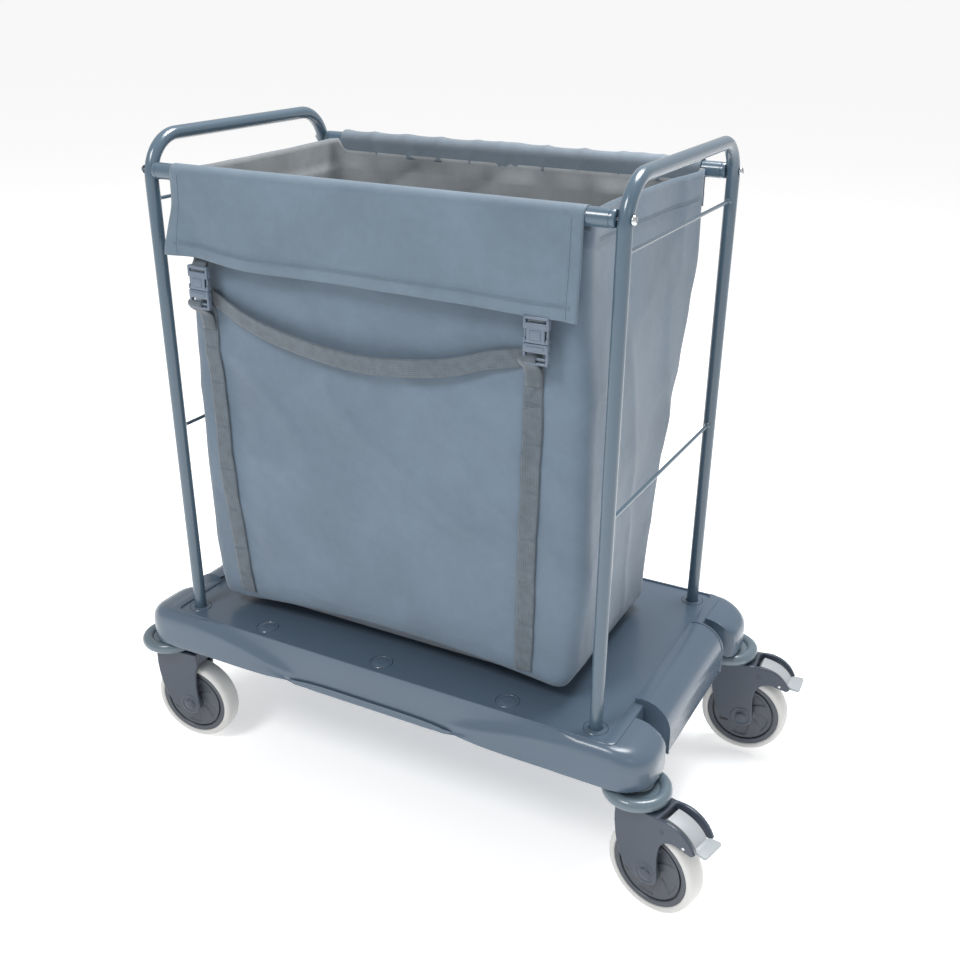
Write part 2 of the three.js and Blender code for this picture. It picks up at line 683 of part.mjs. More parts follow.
addPiece('bag_body', bagBody(), fabricBlue());
addPiece('bag_front_flap', railFold(-1, FLAP.drop), fabricBlue());
addPiece('bag_back_hem', railFold(1, FLAP.hem), fabricBlue());
addPiece('carry_handle', carryHandle(), webbingGrey());
[['right', 1], ['left', -1]].forEach(([name, side]) => {
  addPiece(`front_strap_${name}`, frontStrap(side), webbingGrey());
  addPiece(`buckle_socket_${name}`, buckleSocket(side), material(0x7386a0, 0.4));
  addPiece(`buckle_plug_${name}`, bucklePlug(side), material(0x7386a0, 0.4));
});

export default trolley;
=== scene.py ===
import math

import bmesh
import bpy
from mathutils import Matrix, Vector, noise
from mathutils.bvhtree import BVHTree


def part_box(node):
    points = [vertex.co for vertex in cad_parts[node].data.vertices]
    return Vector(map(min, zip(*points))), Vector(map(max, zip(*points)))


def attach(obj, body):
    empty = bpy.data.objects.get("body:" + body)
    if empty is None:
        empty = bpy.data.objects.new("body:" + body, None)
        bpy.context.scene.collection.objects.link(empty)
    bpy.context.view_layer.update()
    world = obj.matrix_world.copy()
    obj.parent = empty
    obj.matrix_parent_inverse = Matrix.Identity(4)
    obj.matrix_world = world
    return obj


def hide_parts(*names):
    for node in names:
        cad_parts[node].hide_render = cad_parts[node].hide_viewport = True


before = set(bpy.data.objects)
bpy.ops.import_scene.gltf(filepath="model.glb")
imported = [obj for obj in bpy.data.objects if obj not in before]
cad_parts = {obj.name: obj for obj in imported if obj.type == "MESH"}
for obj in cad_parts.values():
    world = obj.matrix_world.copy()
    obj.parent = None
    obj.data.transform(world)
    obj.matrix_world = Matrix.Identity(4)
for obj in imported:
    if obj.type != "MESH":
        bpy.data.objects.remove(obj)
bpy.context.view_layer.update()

scene = bpy.context.scene


# ---------------------------------------------------------------- camera
# A standing person's view of the buckled front and the braked end, from about three metres.

camera_data = bpy.data.cameras.new("camera")
camera_data.lens = 42.9
camera_data.sensor_width = 36
camera_data.shift_x = -0.0088
camera_data.shift_y = 0.0394
camera = bpy.data.objects.new("camera", camera_data)
scene.collection.objects.link(camera)
azimuth, pitch, roll = (math.radians(a) for a in (27.76, 25.45, 0.49))
looking = Vector((
    -math.sin(azimuth) * math.cos(pitch),
    math.cos(azimuth) * math.cos(pitch),
    -math.sin(pitch),
))
turn = looking.to_track_quat("-Z", "Y").to_matrix() @ Matrix.Rotation(roll, 3, "Z")
camera.matrix_world = Matrix.Translation((0.8296, -1.5056, 1.2620)) @ turn.to_4x4()
scene.camera = camera


# ---------------------------------------------------------------- studio
# A pale floor, a soft key from the upper left front, a faint edge light from the right, a broad
# light from above and a bright room.

def stage_floor():
    shape = bmesh.new()
    bmesh.ops.create_grid(shape, x_segments=1, y_segments=1, size=120)
    data = bpy.data.meshes.new("studio_floor")
    shape.to_mesh(data)
    shape.free()
    floor = bpy.data.objects.new("studio_floor", data)
    scene.collection.objects.link(floor)
    paint = bpy.data.materials.new("studio_floor")
    paint.use_nodes = True
    shader = paint.node_tree.nodes["Principled BSDF"]
    shader.inputs["Base Color"].default_value = (0.90, 0.90, 0.90, 1)
    shader.inputs["Roughness"].default_value = 0.9
    shader.inputs["Emission Color"].default_value = (1, 1, 1, 1)
    shader.inputs["Emission Strength"].default_value = 0.42
    data.materials.append(paint)


def soft_light(name, place, target, size, power):
    data = bpy.data.lights.new(name, "AREA")
    data.shape = "DISK"
    data.size = size
    data.energy = power
    light = bpy.data.objects.new(name, data)
    scene.collection.objects.link(light)
    light.location = place
    light.rotation_euler = (Vector(target) - Vector(place)).to_track_quat("-Z", "Y").to_euler()


stage_floor()
soft_light("key_light", (-0.7, -2.5, 3.3), (0, 0, 0.5), 1.2, 58)
soft_light("edge_light", (2.9, -1.9, 2.3), (0.1, 0, 0.4), 0.8, 3)
soft_light("top_light", (0.5, 0.9, 3.4), (0, 0, 0.6), 1.6, 100)
room = bpy.data.worlds.new("room")
room.use_nodes = True
room.node_tree.nodes["Background"].inputs["Color"].default_value = (1.0, 1.0, 1.0, 1)
room.node_tree.nodes["Background"].inputs["Strength"].default_value = 0.57
scene.world = room
scene.view_settings.view_transform = "Standard"


# ---------------------------------------------------------------- base tray
# One injection moulding in slate-grey plastic: a recessed deck inside a thin rim, long skirts,
# a rounded pod over each castor, and a half-round handhold moulding at each end with a pocket
# on each side of it. The loft goes once round the tray, with one profile at each station.

TRAY_X = sum(corner.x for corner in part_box("base_tray")) / 2
DECK_Z, RIM_Z = 0.270, 0.273
RECESS = (0.395, 0.243, 0.010)      # half length, half width, corner radius
LIP = (0.412, 0.248, 0.014)
OUTER = (0.467, 0.262, 0.052)
ROLL_END, POCKET_END = 0.130, 0.164
ROLL_CENTRE, ROLL_R, ROLL_FOOT = (0.410, 0.235), 0.045, 0.197
ROLL_STEPS = ((-0.130, 0.0016), (-0.1272, 0.0016), (-0.1264, 0), (-0.08, 0), (0, 0), (0.08, 0),
              (0.1264, 0), (0.1272, 0.0016), (0.130, 0.0016))
POD_ROUNDING = {0.164: 0.80, 0.168: 0.93, 0.177: 0.985}


def finished(name, shape, paint, body, smooth=35):
    """Turns a bmesh into a piece that rides on a body, with its sharp edges kept."""
    data = bpy.data.meshes.new(name)
    bmesh.ops.recalc_face_normals(shape, faces=shape.faces)
    shape.to_mesh(data)
    shape.free()
    piece = bpy.data.objects.new(name, data)
    scene.collection.objects.link(piece)
    data.shade_smooth()
    if smooth:
        data.set_sharp_from_angle(angle=math.radians(smooth))
    data.materials.append(paint)
    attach(piece, body)
    return piece


def modify(piece, name, kind, **values):
    modifier = piece.modifiers.new(name, kind)
    for key, value in values.items():
        setattr(modifier, key, value)
    return modifier


def ease(t):
    """A smooth step from 0 to 1."""
    t = min(max(t, 0), 1)
    return t * t * (3 - 2 * t)


def verts_in(geom):
    return [g for g in geom if isinstance(g, bmesh.types.BMVert)]


def shifted(shape, vec):
    bmesh.ops.translate(shape, vec=vec, verts=shape.verts)
    return shape


def swung(shape, degrees, axis):
    """Turns a shape about an axis through the origin."""
    turn = Matrix.Rotation(math.radians(degrees), 3, axis)
    bmesh.ops.rotate(shape, cent=(0, 0, 0), verts=shape.verts, matrix=turn)
    return shape


def rounded(shape, edges, width, segments):
    bmesh.ops.bevel(
        shape, geom=edges, offset=width, affect="EDGES", segments=segments, profile=0.5, material=-1,
    )


def new_paint(name):
    """A node material with its nodes, its links and its shader."""
    paint = bpy.data.materials.new(name)
    paint.use_nodes = True
    nodes = paint.node_tree.nodes
    return paint, nodes, paint.node_tree.links, nodes["Principled BSDF"]


def add_node(nodes, kind, **inputs):
    node = nodes.new(f"ShaderNode{kind}")
    for label, value in inputs.items():
        node.inputs[label.replace("_", " ")].default_value = value
    return node


def shade_of(colour, share):
    return (*[min(c * share, 1) for c in colour], 1)


def plastic(name, colour, roughness, grain=0.25, grain_scale=1800, drift=0.05, coat=0.0):
    """Moulded plastic: fine spark grain, slow colour drift and slightly uneven gloss."""
    paint, nodes, links, shader = new_paint(name)
    shader.inputs["Coat Weight"].default_value = coat
    shader.inputs["Coat Roughness"].default_value = 0.15
    place = add_node(nodes, "TexCoord")
    slow = add_node(nodes, "TexNoise", Scale=9, Detail=5)
    tint = nodes.new("ShaderNodeMix")
    tint.data_type = "RGBA"
    tint.inputs["A"].default_value = shade_of(colour, 1 - drift)
    tint.inputs["B"].default_value = shade_of(colour, 1 + drift)
    gloss = add_node(nodes, "MapRange", To_Min=roughness * 0.85, To_Max=roughness * 1.15)
    fine = add_node(nodes, "TexNoise", Scale=grain_scale)
    bump = add_node(nodes, "Bump", Strength=grain, Distance=0.0002)
    for node in (slow, fine):
        links.new(place.outputs["Object"], node.inputs["Vector"])
    links.new(slow.outputs["Fac"], tint.inputs["Factor"])
    links.new(slow.outputs["Fac"], gloss.inputs["Value"])
    links.new(tint.outputs["Result"], shader.inputs["Base Color"])
    links.new(gloss.outputs["Result"], shader.inputs["Roughness"])
    links.new(fine.outputs["Fac"], bump.inputs["Height"])
    links.new(bump.outputs["Normal"], shader.inputs["Normal"])
    return paint


tray_plastic = plastic("tray_plastic", (0.086, 0.124, 0.172), 0.25, grain=0.06, coat=0.15)


def corner_point(half, quarter, turn_share):
    """A point on a rounded rectangle's corner: quarter 0 to 3, share 0 to 1 round its arc."""
    hx, hy, r = half
    sx, sy = ((1, -1), (1, 1), (-1, 1), (-1, -1))[quarter]
    angle = math.radians(90 * (quarter - 1 + turn_share))
    return Vector((sx * (hx - r) + r * math.cos(angle), sy * (hy - r) + r * math.sin(angle)))


def lip_profile(a, b):
    """The deck's edge, rim and lip, from the recess outline a to the lip outline b."""
    inward = (b - a).normalized()
    return [
        (a, DECK_Z), (a + inward * 0.0008, RIM_Z - 0.0006), (a + inward * 0.002, RIM_Z),
        (b - inward * 0.002, RIM_Z), (b - inward * 0.0006, RIM_Z - 0.0007), (b, RIM_Z - 0.0022),
    ]


DOME_ANGLES = [math.radians(a) for a in (14, 28, 42, 56, 72, 90)]


def pod_profile(b, c, foot=0.206):
    """A pod's dome from the lip outline b to the outer face c, then straight down."""
    top, rise = RIM_Z - 0.0024, 0.030
    dome = [(b.lerp(c, math.sin(a)), top - rise * (1 - math.cos(a))) for a in DOME_ANGLES]
    return dome + [(c, 0.232), (c, 0.220), (c, foot + 0.002), (c.lerp(b, 0.05), foot)]


def skirt_profile(x, b):
    """A long side's skirt, with the bulge that runs out of each pod and fades to the middle."""
    out = (b / abs(b.y)).y
    share = ease((abs(x) - 0.095) / 0.235)
    ridge = 0.222 + (0.262 - 0.222) * share ** 0.8
    reach = 0.010 * ease((abs(x) - 0.095) / 0.12)
    foot = 0.214 - 0.008 * ease((abs(x) - 0.05) / 0.25)

    def face(z):
        return abs(b.y) + 0.0006 + 0.0068 * (RIM_Z - z) / (RIM_Z - 0.212)

    def at(y, z):
        return Vector((x, out * y)), z

    drop = 0.016
    bulge = [
        at(face(ridge) + reach * math.sin(a), ridge - drop * (1 - math.cos(a)))
        for a in DOME_ANGLES[1:]
    ]
    low = face(ridge - drop) + reach
    return [at(face(ridge + 0.010), ridge + 0.010), *bulge] + [
        at(low, ridge - drop - 0.3 * (ridge - drop - foot)),
        at(low + 0.0008, ridge - drop - 0.65 * (ridge - drop - foot)),
        at(low + 0.001, foot + 0.002), at(low - 0.001, foot),
    ]


def pocket_profile(b):
    """The wall at the back of an end pocket, straight down from the lip."""
    return [(b, RIM_Z - 0.004 - 0.0063 * step) for step in range(10)]


def roll_profile(a, side, lip=0.0):
    """The half-round end moulding, with a raised lip where it meets a pocket."""
    y = a.y
    cx, cz = ROLL_CENTRE
    arch_r = ROLL_R + lip

    def at(x, z):
        return Vector((side * x, y)), z

    start = [(a, DECK_Z), at(0.3958, RIM_Z - 0.0006), at(0.3970, RIM_Z), at(0.3990, RIM_Z + 0.0012)]
    angles = [math.radians(v) for v in (106, 92, 78, 64, 50, 36, 22, 10, 0)]
    arch = [at(cx + arch_r * math.cos(v), cz + arch_r * math.sin(v)) for v in angles]
    edge = cx + arch_r
    return start + arch + [at(edge, 0.216), at(edge, ROLL_FOOT + 0.002), at(edge - 0.001, ROLL_FOOT)]


def tray_stations():
    """Profiles round the tray, anticlockwise from the middle of the front."""
    stations = []

    def long_side(sign):
        xs = [0.02 * i for i in range(17)]
        xs = [-x for x in reversed(xs[1:])] + xs
        for x in xs if sign < 0 else reversed(xs):
            a, b = Vector((x, sign * RECESS[1])), Vector((x, sign * LIP[1]))
            stations.append(lip_profile(a, b) + skirt_profile(x, b))

    def pod_long(sign_x, sign_y, outward):
        xs = [0.340, 0.356, 0.372, 0.388]
        for x in xs if outward else reversed(xs):
            a, b, c = (Vector((sign_x * min(x, h[0] - h[2]), sign_y * h[1])) for h in (RECESS, LIP, OUTER))
            stations.append(lip_profile(a, b) + pod_profile(b, c))

    def pod_corner(quarter):
        for step in range(9):
            points = [corner_point(half, quarter, step / 8) for half in (RECESS, LIP, OUTER)]
            stations.append(lip_profile(*points[:2]) + pod_profile(*points[1:]))

    def pod_end(side, ys):
        for y in ys:
            a, b, c = (Vector((side * half[0], y)) for half in (RECESS, LIP, OUTER))
            c = b.lerp(c, POD_ROUNDING.get(abs(y), 1.0))
            stations.append(lip_profile(a, b) + pod_profile(b, c))

    def pocket(side, ys):
        for y in ys:
            points = [Vector((side * half[0], y)) for half in (RECESS, LIP)]
            stations.append(lip_profile(*points) + pocket_profile(points[1]))

    def end(side):
        order = 1 if side > 0 else -1
        pod_end(side, [order * y for y in (-0.204, -0.190, -0.177, -0.168, -POCKET_END)])
        pocket(side, [order * y for y in (-POCKET_END, -0.147, -ROLL_END)])
        for y, lip in ROLL_STEPS:
            stations.append(roll_profile(Vector((side * RECESS[0], order * y)), side, lip))
        pocket(side, [order * y for y in (ROLL_END, 0.147, POCKET_END)])
        pod_end(side, [order * y for y in (POCKET_END, 0.168, 0.177, 0.190, 0.204)])

    long_side(-1)
    pod_long(1, -1, True)
    pod_corner(0)
    end(1)
    pod_corner(1)
    pod_long(1, 1, False)
    long_side(1)
    pod_long(-1, 1, True)
    pod_corner(2)
    end(-1)
    pod_corner(3)
    pod_long(-1, -1, False)
    return stations


def socket_centres():
    """Where posts and blanking plugs go through the deck, from the pieces that sit there."""
    names = [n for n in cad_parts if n.startswith(("post_collar", "socket_plug"))]
    return {n: sum(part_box(n), Vector()) / 2 for n in sorted(names)}


SOCKET_HOLE_R, SOCKET_DEPTH = 0.0188, 0.006


def tray_shell():
    shape = bmesh.new()
    rings = []
    for profile in tray_stations():
        rings.append([shape.verts.new((p.x + TRAY_X, p.y, z)) for p, z in profile])
    for ring, following in zip(rings, rings[1:] + rings[:1]):
        for i in range(len(ring) - 1):
            shape.faces.new([ring[i], ring[i + 1], following[i + 1], following[i]])
    edges = [shape.edges.get((r[0], f[0])) for r, f in zip(rings, rings[1:] + rings[:1])]
    for centre in socket_centres().values():
        hole = bmesh.ops.create_circle(
            shape, segments=40, radius=SOCKET_HOLE_R,
            matrix=Matrix.Translation((centre.x, centre.y, DECK_Z)),
        )["verts"]
        edges += list({e for v in hole for e in v.link_edges})
    bmesh.ops.triangle_fill(shape, use_beauty=True, use_dissolve=False, edges=edges)
    for centre in socket_centres().values():
        rim = [e for e in shape.edges if e.is_boundary and all(
            abs((v.co.xy - centre.xy).length - SOCKET_HOLE_R) < 1e-5 and abs(v.co.z - DECK_Z) < 1e-6
            for v in e.verts)]
        down = bmesh.ops.extrude_edge_only(shape, edges=rim)["geom"]
        bmesh.ops.translate(shape, vec=(0, 0, -SOCKET_DEPTH), verts=verts_in(down))
    bmesh.ops.remove_doubles(shape, verts=shape.verts, dist=1e-6)
    return shape


tray = finished("tray_moulding", tray_shell(), tray_plastic, "trolley")
modify(tray, "wall", "SOLIDIFY", thickness=0.0035, offset=-1)
modify(tray, "edges", "BEVEL", width=0.0012, segments=2, limit_method="ANGLE",
       angle_limit=math.radians(40))
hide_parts("base_tray")


def merged(shape, other):
    """Adds another bmesh to a shape and frees it."""
    data = bpy.data.meshes.new("part")
    other.to_mesh(data)
    other.free()
    shape.from_mesh(data)
    bpy.data.meshes.remove(data)


def lathe(profile, centre=(0, 0, 0), steps=48):
    """Spins a profile of (radius, height) once round an upright axis."""
    shape = bmesh.new()
    chain = [shape.verts.new((r, 0, z)) for r, z in profile]
    edges = [shape.edges.new(pair) for pair in zip(chain, chain[1:])]
    bmesh.ops.spin(
        shape, geom=chain + edges, cent=(0, 0, 0), axis=(0, 0, 1),
        angle=math.tau, steps=steps, use_merge=True,
    )
    bmesh.ops.remove_doubles(shape, verts=shape.verts, dist=1e-6)
    bmesh.ops.recalc_face_normals(shape, faces=shape.faces)
    return shifted(shape, centre)


def block(x, y, z, bevel=0.0, segments=2):
    """A box between pairs of coordinates, with rounded edges."""
    shape = bmesh.new()
    bmesh.ops.create_cube(shape, size=1)
    spans = (x[1] - x[0], y[1] - y[0], z[1] - z[0])
    bmesh.ops.scale(shape, vec=spans, verts=shape.verts)
    shifted(shape, [sum(p) / 2 for p in (x, y, z)])
    if bevel:
        rounded(shape, shape.edges[:], bevel, segments)
    return shape


def tray_underside():
    """Ribs across the deck, and the bosses that take posts, plugs and castors."""
    shape = bmesh.new()
    for step in (-1, 0, 1):
        x = TRAY_X + 0.160 * step
        merged(shape, block((x - 0.002, x + 0.002), (-0.246, 0.246), (0.240, 0.267), 0.0006))
    for name, centre in socket_centres().items():
        foot = 0.225 if name.startswith("post_collar") else 0.257
        bore = 0.0106 if name.startswith("post_collar") else 0.0005
        merged(shape, lathe([
            (bore, foot), (0.0215, foot), (0.022, foot + 0.0005), (0.022, 0.2675), (bore, 0.2675),
            (bore, foot),
        ], (centre.x, centre.y, 0), 32))
    for side in (-1, 1):
        for end in (-1, 1):
            merged(shape, lathe([
                (0.0085, 0.206), (0.0195, 0.206), (0.020, 0.2065), (0.020, 0.248),
                (0.0085, 0.248), (0.0085, 0.206),
            ], (TRAY_X + 0.441 * side, 0.219 * end, 0), 32))
    return shape


finished("tray_underside", tray_underside(), tray_plastic, "trolley")


# ---------------------------------------------------------------- deck collars and plugs
# Posts pass through plastic collars pressed into the deck. Sockets that this model of
# trolley doesn't use are closed with blanking plugs of the same plastic, almost flush.

COLLAR_TOP, PLUG_TOP, SOCKET_FOOT = 0.2708, 0.2706, 0.2623
for node, centre in socket_centres().items():
    if node.startswith("post_collar"):
        profile = [
            (0.0103, SOCKET_FOOT), (0.0179, SOCKET_FOOT), (0.0181, COLLAR_TOP - 0.0008),
            (0.0173, COLLAR_TOP), (0.0128, COLLAR_TOP + 0.0002), (0.0122, COLLAR_TOP + 0.0012),
            (0.0108, COLLAR_TOP + 0.0012), (0.0103, COLLAR_TOP + 0.0006), (0.0103, SOCKET_FOOT),
        ]
    else:
        profile = [
            (0, SOCKET_FOOT), (0.0179, SOCKET_FOOT), (0.0181, PLUG_TOP - 0.0008),
            (0.0173, PLUG_TOP), (0.0150, PLUG_TOP), (0.0146, PLUG_TOP - 0.0004),
            (0.0140, PLUG_TOP), (0.006, PLUG_TOP + 0.0003), (0, PLUG_TOP + 0.0003),
        ]
    shape = lathe(profile, (centre.x, centre.y, 0), 56)
    fitting = finished(f"{node}_look", shape, tray_plastic, "trolley")
    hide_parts(node)


# ---------------------------------------------------------------- end hoops and wires
# Each hoop is one 20 mm steel tube bent twice and powder-coated slate blue; two 5.5 mm wires are
# welded across it. A hoop stands in the deck's collars and its top is the push bar.

POST_X, POST_Y, TUBE_R = 0.370, 0.215, 0.010
HOOP_FOOT, HOOP_TOP, HOOP_BEND = 0.2303, 1.046, 0.060
WIRE_R, WIRE_LEVELS = 0.00275, {"upper": 0.958, "lower": 0.601}


def ends_of(made):
    """The vertices of an extrusion or spin, and the edges between them."""
    verts = verts_in(made)
    kept = set(verts)
    edges = [g for g in made if isinstance(g, bmesh.types.BMEdge) and set(g.verts) <= kept]
    return verts, edges


def push_tube(shape, ring, step):
    made = bmesh.ops.extrude_edge_only(shape, edges=ring)["geom"]
    verts, edges = ends_of(made)
    bmesh.ops.translate(shape, vec=step, verts=verts)
    return edges


def bend_tube(shape, ring, centre, axis, angle, steps):
    geom = list({v for e in ring for v in e.verts}) + ring
    made = bmesh.ops.spin(
        shape, geom=geom, cent=centre, axis=axis, angle=angle, steps=steps, use_merge=False,
    )["geom_last"]
    return [g for g in made if isinstance(g, bmesh.types.BMEdge)]


def hoop(x):
    shape = bmesh.new()
    bmesh.ops.create_circle(
        shape, segments=32, radius=TUBE_R, cap_ends=False,
        matrix=Matrix.Translation((x, -POST_Y, HOOP_FOOT)),
    )
    ring = shape.edges[:]
    rise = HOOP_TOP - HOOP_BEND - HOOP_FOOT
    inner = POST_Y - HOOP_BEND
    ring = push_tube(shape, ring, (0, 0, rise))
    ring = bend_tube(shape, ring, (x, -inner, HOOP_TOP - HOOP_BEND), (-1, 0, 0), math.pi / 2, 16)
    ring = push_tube(shape, ring, (0, 2 * inner, 0))
    ring = bend_tube(shape, ring, (x, inner, HOOP_TOP - HOOP_BEND), (-1, 0, 0), math.pi / 2, 16)
    push_tube(shape, ring, (0, 0, -rise))
    bmesh.ops.holes_fill(shape, edges=[e for e in shape.edges if e.is_boundary], sides=0)
    return shape


def weld_fillet(centre, direction):
    """A small bead where a wire meets a post."""
    bead = lathe([
        (0.0022, -0.0004), (0.0050, -0.0002), (0.0044, 0.0009), (0.0034, 0.0024),
        (0.0028, 0.0042), (0.0022, 0.0046), (0.0022, -0.0004),
    ], steps=24)
    return shifted(swung(bead, -90 * direction, "X"), centre)


def wire(x, z):
    half = POST_Y - TUBE_R + 0.0006
    shape = lathe([(0, -half), (WIRE_R, -half), (WIRE_R, half), (0, half)], steps=20)
    shifted(swung(shape, 90, "X"), (x, 0, z))
    for side in (-1, 1):
        merged(shape, weld_fillet((x, side * (half - 0.0006), z), -side))
    return shape


def powder_coat(name, colour):
    """Glossy stoved powder coat: fine orange peel under a clear, bright surface."""
    paint = plastic(name, colour, 0.24, grain=0.0, grain_scale=600, drift=0.04, coat=0.6)
    bump = next(n for n in paint.node_tree.nodes if n.type == "BUMP")
    bump.inputs["Strength"].default_value = 0.10
    bump.inputs["Distance"].default_value = 0.0004
    return paint


tube_paint = powder_coat("tube_paint", (0.072, 0.118, 0.162))
for name, side in (("right", 1), ("left", -1)):
    x = TRAY_X + side * POST_X
    piece = finished(f"push_hoop_{name}", hoop(x), tube_paint, "trolley", smooth=50)
    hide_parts(f"end_hoop_{name}")
    for level, z in WIRE_LEVELS.items():
        piece = finished(f"cross_wire_{level}_{name}", wire(x, z), tube_paint, "trolley",
                         smooth=50)
        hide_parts(f"hoop_wire_{level}_{name}")


# ---------------------------------------------------------------- bag rails and their screws
# A 24 mm tube joins the hoops along each long side, with a turned plug in each end. A domed
# socket screw goes through the post into the plug from the outside.

RAIL_Z, RAIL_R = 1.000, 0.012
RAIL_HALF = POST_X - TUBE_R - 0.0003


def along_x(shape, centre):
    return shifted(swung(shape, 90, "Y"), centre)


def rail_tube(y):
    half = [
        (0.0040, RAIL_HALF), (0.0104, RAIL_HALF), (0.0114, RAIL_HALF - 0.0005),
        (0.0118, RAIL_HALF - 0.0014), (0.0118, RAIL_HALF - 0.0062), (0.0112, RAIL_HALF - 0.0066),
        (0.0112, RAIL_HALF - 0.0074), (0.0119, RAIL_HALF - 0.0078), (RAIL_R, RAIL_HALF - 0.0086),
    ]
    profile = half + [(r, -v) for r, v in reversed(half)] + [half[0]]
    return along_x(lathe(profile, steps=40), (TRAY_X, y, RAIL_Z))


def screw_head(side, y):
    shape = lathe([
        (0, -0.0175), (0.0029, -0.0175), (0.0029, 0.0103), (0.0064, 0.0103), (0.0065, 0.0108),
        (0.0061, 0.0124), (0.0052, 0.0136), (0.0040, 0.0145), (0.0026, 0.0149),
        (0.0023, 0.0147), (0.0021, 0.0128), (0, 0.0126),
    ], steps=32)
    if side < 0:
        swung(shape, 180, "X")
    return along_x(shape, (TRAY_X + side * POST_X, y, RAIL_Z))


def bright_steel(name, colour, roughness):
    """Plated steel: fine turning marks that catch the light."""
    paint = plastic(name, colour, roughness, grain=0.05, grain_scale=900, drift=0.06)
    paint.node_tree.nodes["Principled BSDF"].inputs["Metallic"].default_value = 1.0
    return paint


screw_steel = bright_steel("screw_steel", (0.62, 0.64, 0.67), 0.22)
for name, side in (("front", -1), ("back", 1)):
    piece = finished(f"rail_tube_{name}", rail_tube(side * POST_Y), tube_paint, "trolley",
                     smooth=40)
    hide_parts(f"bag_rail_{name}")
CORNERS = {
    "front_right": (1, -1, -13.4, True), "back_right": (1, 1, 3.3, True),
    "front_left": (-1, -1, 6.7, False), "back_left": (-1, 1, -4.0, False),
}
for name, (side, end, heading, braked) in CORNERS.items():
    piece = finished(f"screw_head_{name}", screw_head(side, end * POST_Y), screw_steel, "trolley")
    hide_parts(f"rail_screw_{name}")


# ---------------------------------------------------------------- castors: stems and buffers
# A zinc-plated king pin bolts up into each pod. A soft round buffer turns on it between the pod
# and the fork and keeps the corners off walls. Each castor is drawn trailing along +X and is
# then turned to the way it was left standing.

CASTOR_X, CASTOR_Y, TRAIL, WHEEL_R = 0.441, 0.219, 0.042, 0.075
BUFFER_Z, BUFFER_R, BUFFER_SECTION = 0.192, 0.042, 0.010


def parked(name):
    side, end, heading, braked = CORNERS[name]
    place = Matrix.Translation((TRAY_X + side * CASTOR_X, end * CASTOR_Y, 0))
    return place @ Matrix.Rotation(math.radians(heading), 4, "Z")


def stood(shape, name):
    bmesh.ops.transform(shape, matrix=parked(name), verts=shape.verts)
    return shape


def king_pin():
    return lathe([
        (0, 0.1567), (0.0168, 0.1567), (0.0170, 0.1617), (0.0120, 0.1617), (0.0120, 0.1818),
        (0.0148, 0.1818), (0.0150, 0.1822), (0.0150, 0.2023), (0.0237, 0.2023), (0.0240, 0.2028),
        (0.0240, 0.2054), (0.0236, 0.2057), (0.0080, 0.2057), (0.0080, 0.2535), (0.0070, 0.2550),
        (0, 0.2550),
    ], steps=48)


def buffer_ring():
    web, start = 0.0035, math.asin(0.35)
    rim = []
    for step in range(25):
        angle = math.pi + start + (math.tau - 2 * start) * step / 24
        rim.append((BUFFER_R + BUFFER_SECTION * math.cos(angle),
                    BUFFER_Z + BUFFER_SECTION * math.sin(angle)))
    bore = 0.0156
    return lathe([(bore, BUFFER_Z + web), (bore, BUFFER_Z - web), *rim, (bore, BUFFER_Z + web)],
                 steps=72)


zinc_steel = bright_steel("zinc_steel", (0.42, 0.44, 0.46), 0.38)
buffer_plastic = plastic("buffer_plastic", (0.120, 0.165, 0.200), 0.25, grain=0.08, coat=0.3)
for name in CORNERS:
    pin = finished(f"king_pin_{name}", stood(king_pin(), name), zinc_steel, "trolley")
    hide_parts(f"castor_stem_{name}")
    ring = finished(f"wall_buffer_{name}", stood(buffer_ring(), name), buffer_plastic,
                    f"buffer_{name}", smooth=60)
    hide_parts(f"bumper_ring_{name}")


# ---------------------------------------------------------------- castors: forks
# A one-piece glass-filled nylon fork: a round-nosed head, two flat-sided legs that taper to the
# axle, and on a braked castor two arms that arch back over the tyre beside the pedal.

FORK_TOP, WEB_FOOT, LEG_IN, LEG_OUT, HUB_R = 0.1815, 0.156, 0.022, 0.028, 0.020


def curve_between(start, pull, end, count=8):
    """Points on a quadratic curve, without its first."""
    start, pull, end = (Vector(p) for p in (start, pull, end))
    shares = [(i + 1) / count for i in range(count)]
    return [start.lerp(pull, t).lerp(pull.lerp(end, t), t) for t in shares]


def leg_outline(braked):
    points = [Vector((-0.017, FORK_TOP - 0.001)), Vector((-0.018, 0.150))]
    points += curve_between((-0.018, 0.150), (-0.016, 0.118), (-0.008, 0.095))
    points += curve_between((-0.008, 0.095), (0.002, 0.066), (0.030, 0.059))
    for step in range(13):
        angle = -2.2 + 2.2 * step / 12
        points.append(Vector((TRAIL + HUB_R * math.cos(angle), WHEEL_R + HUB_R * math.sin(angle))))
    points += curve_between(points[-1], (0.057, 0.104), (0.059, 0.124))
    if braked:
        points += curve_between((0.059, 0.124), (0.062, 0.150), (0.088, 0.151))
        points += [Vector((0.113, 0.146)), Vector((0.118, 0.150))]
        points += curve_between((0.118, 0.150), (0.104, 0.181), (0.070, 0.183), 10)
        points.append(Vector((0.050, FORK_TOP - 0.001)))
    else:
        points += curve_between((0.059, 0.124), (0.060, 0.150), (0.066, 0.160))
        points.append(Vector((0.064, FORK_TOP - 0.001)))
    return points


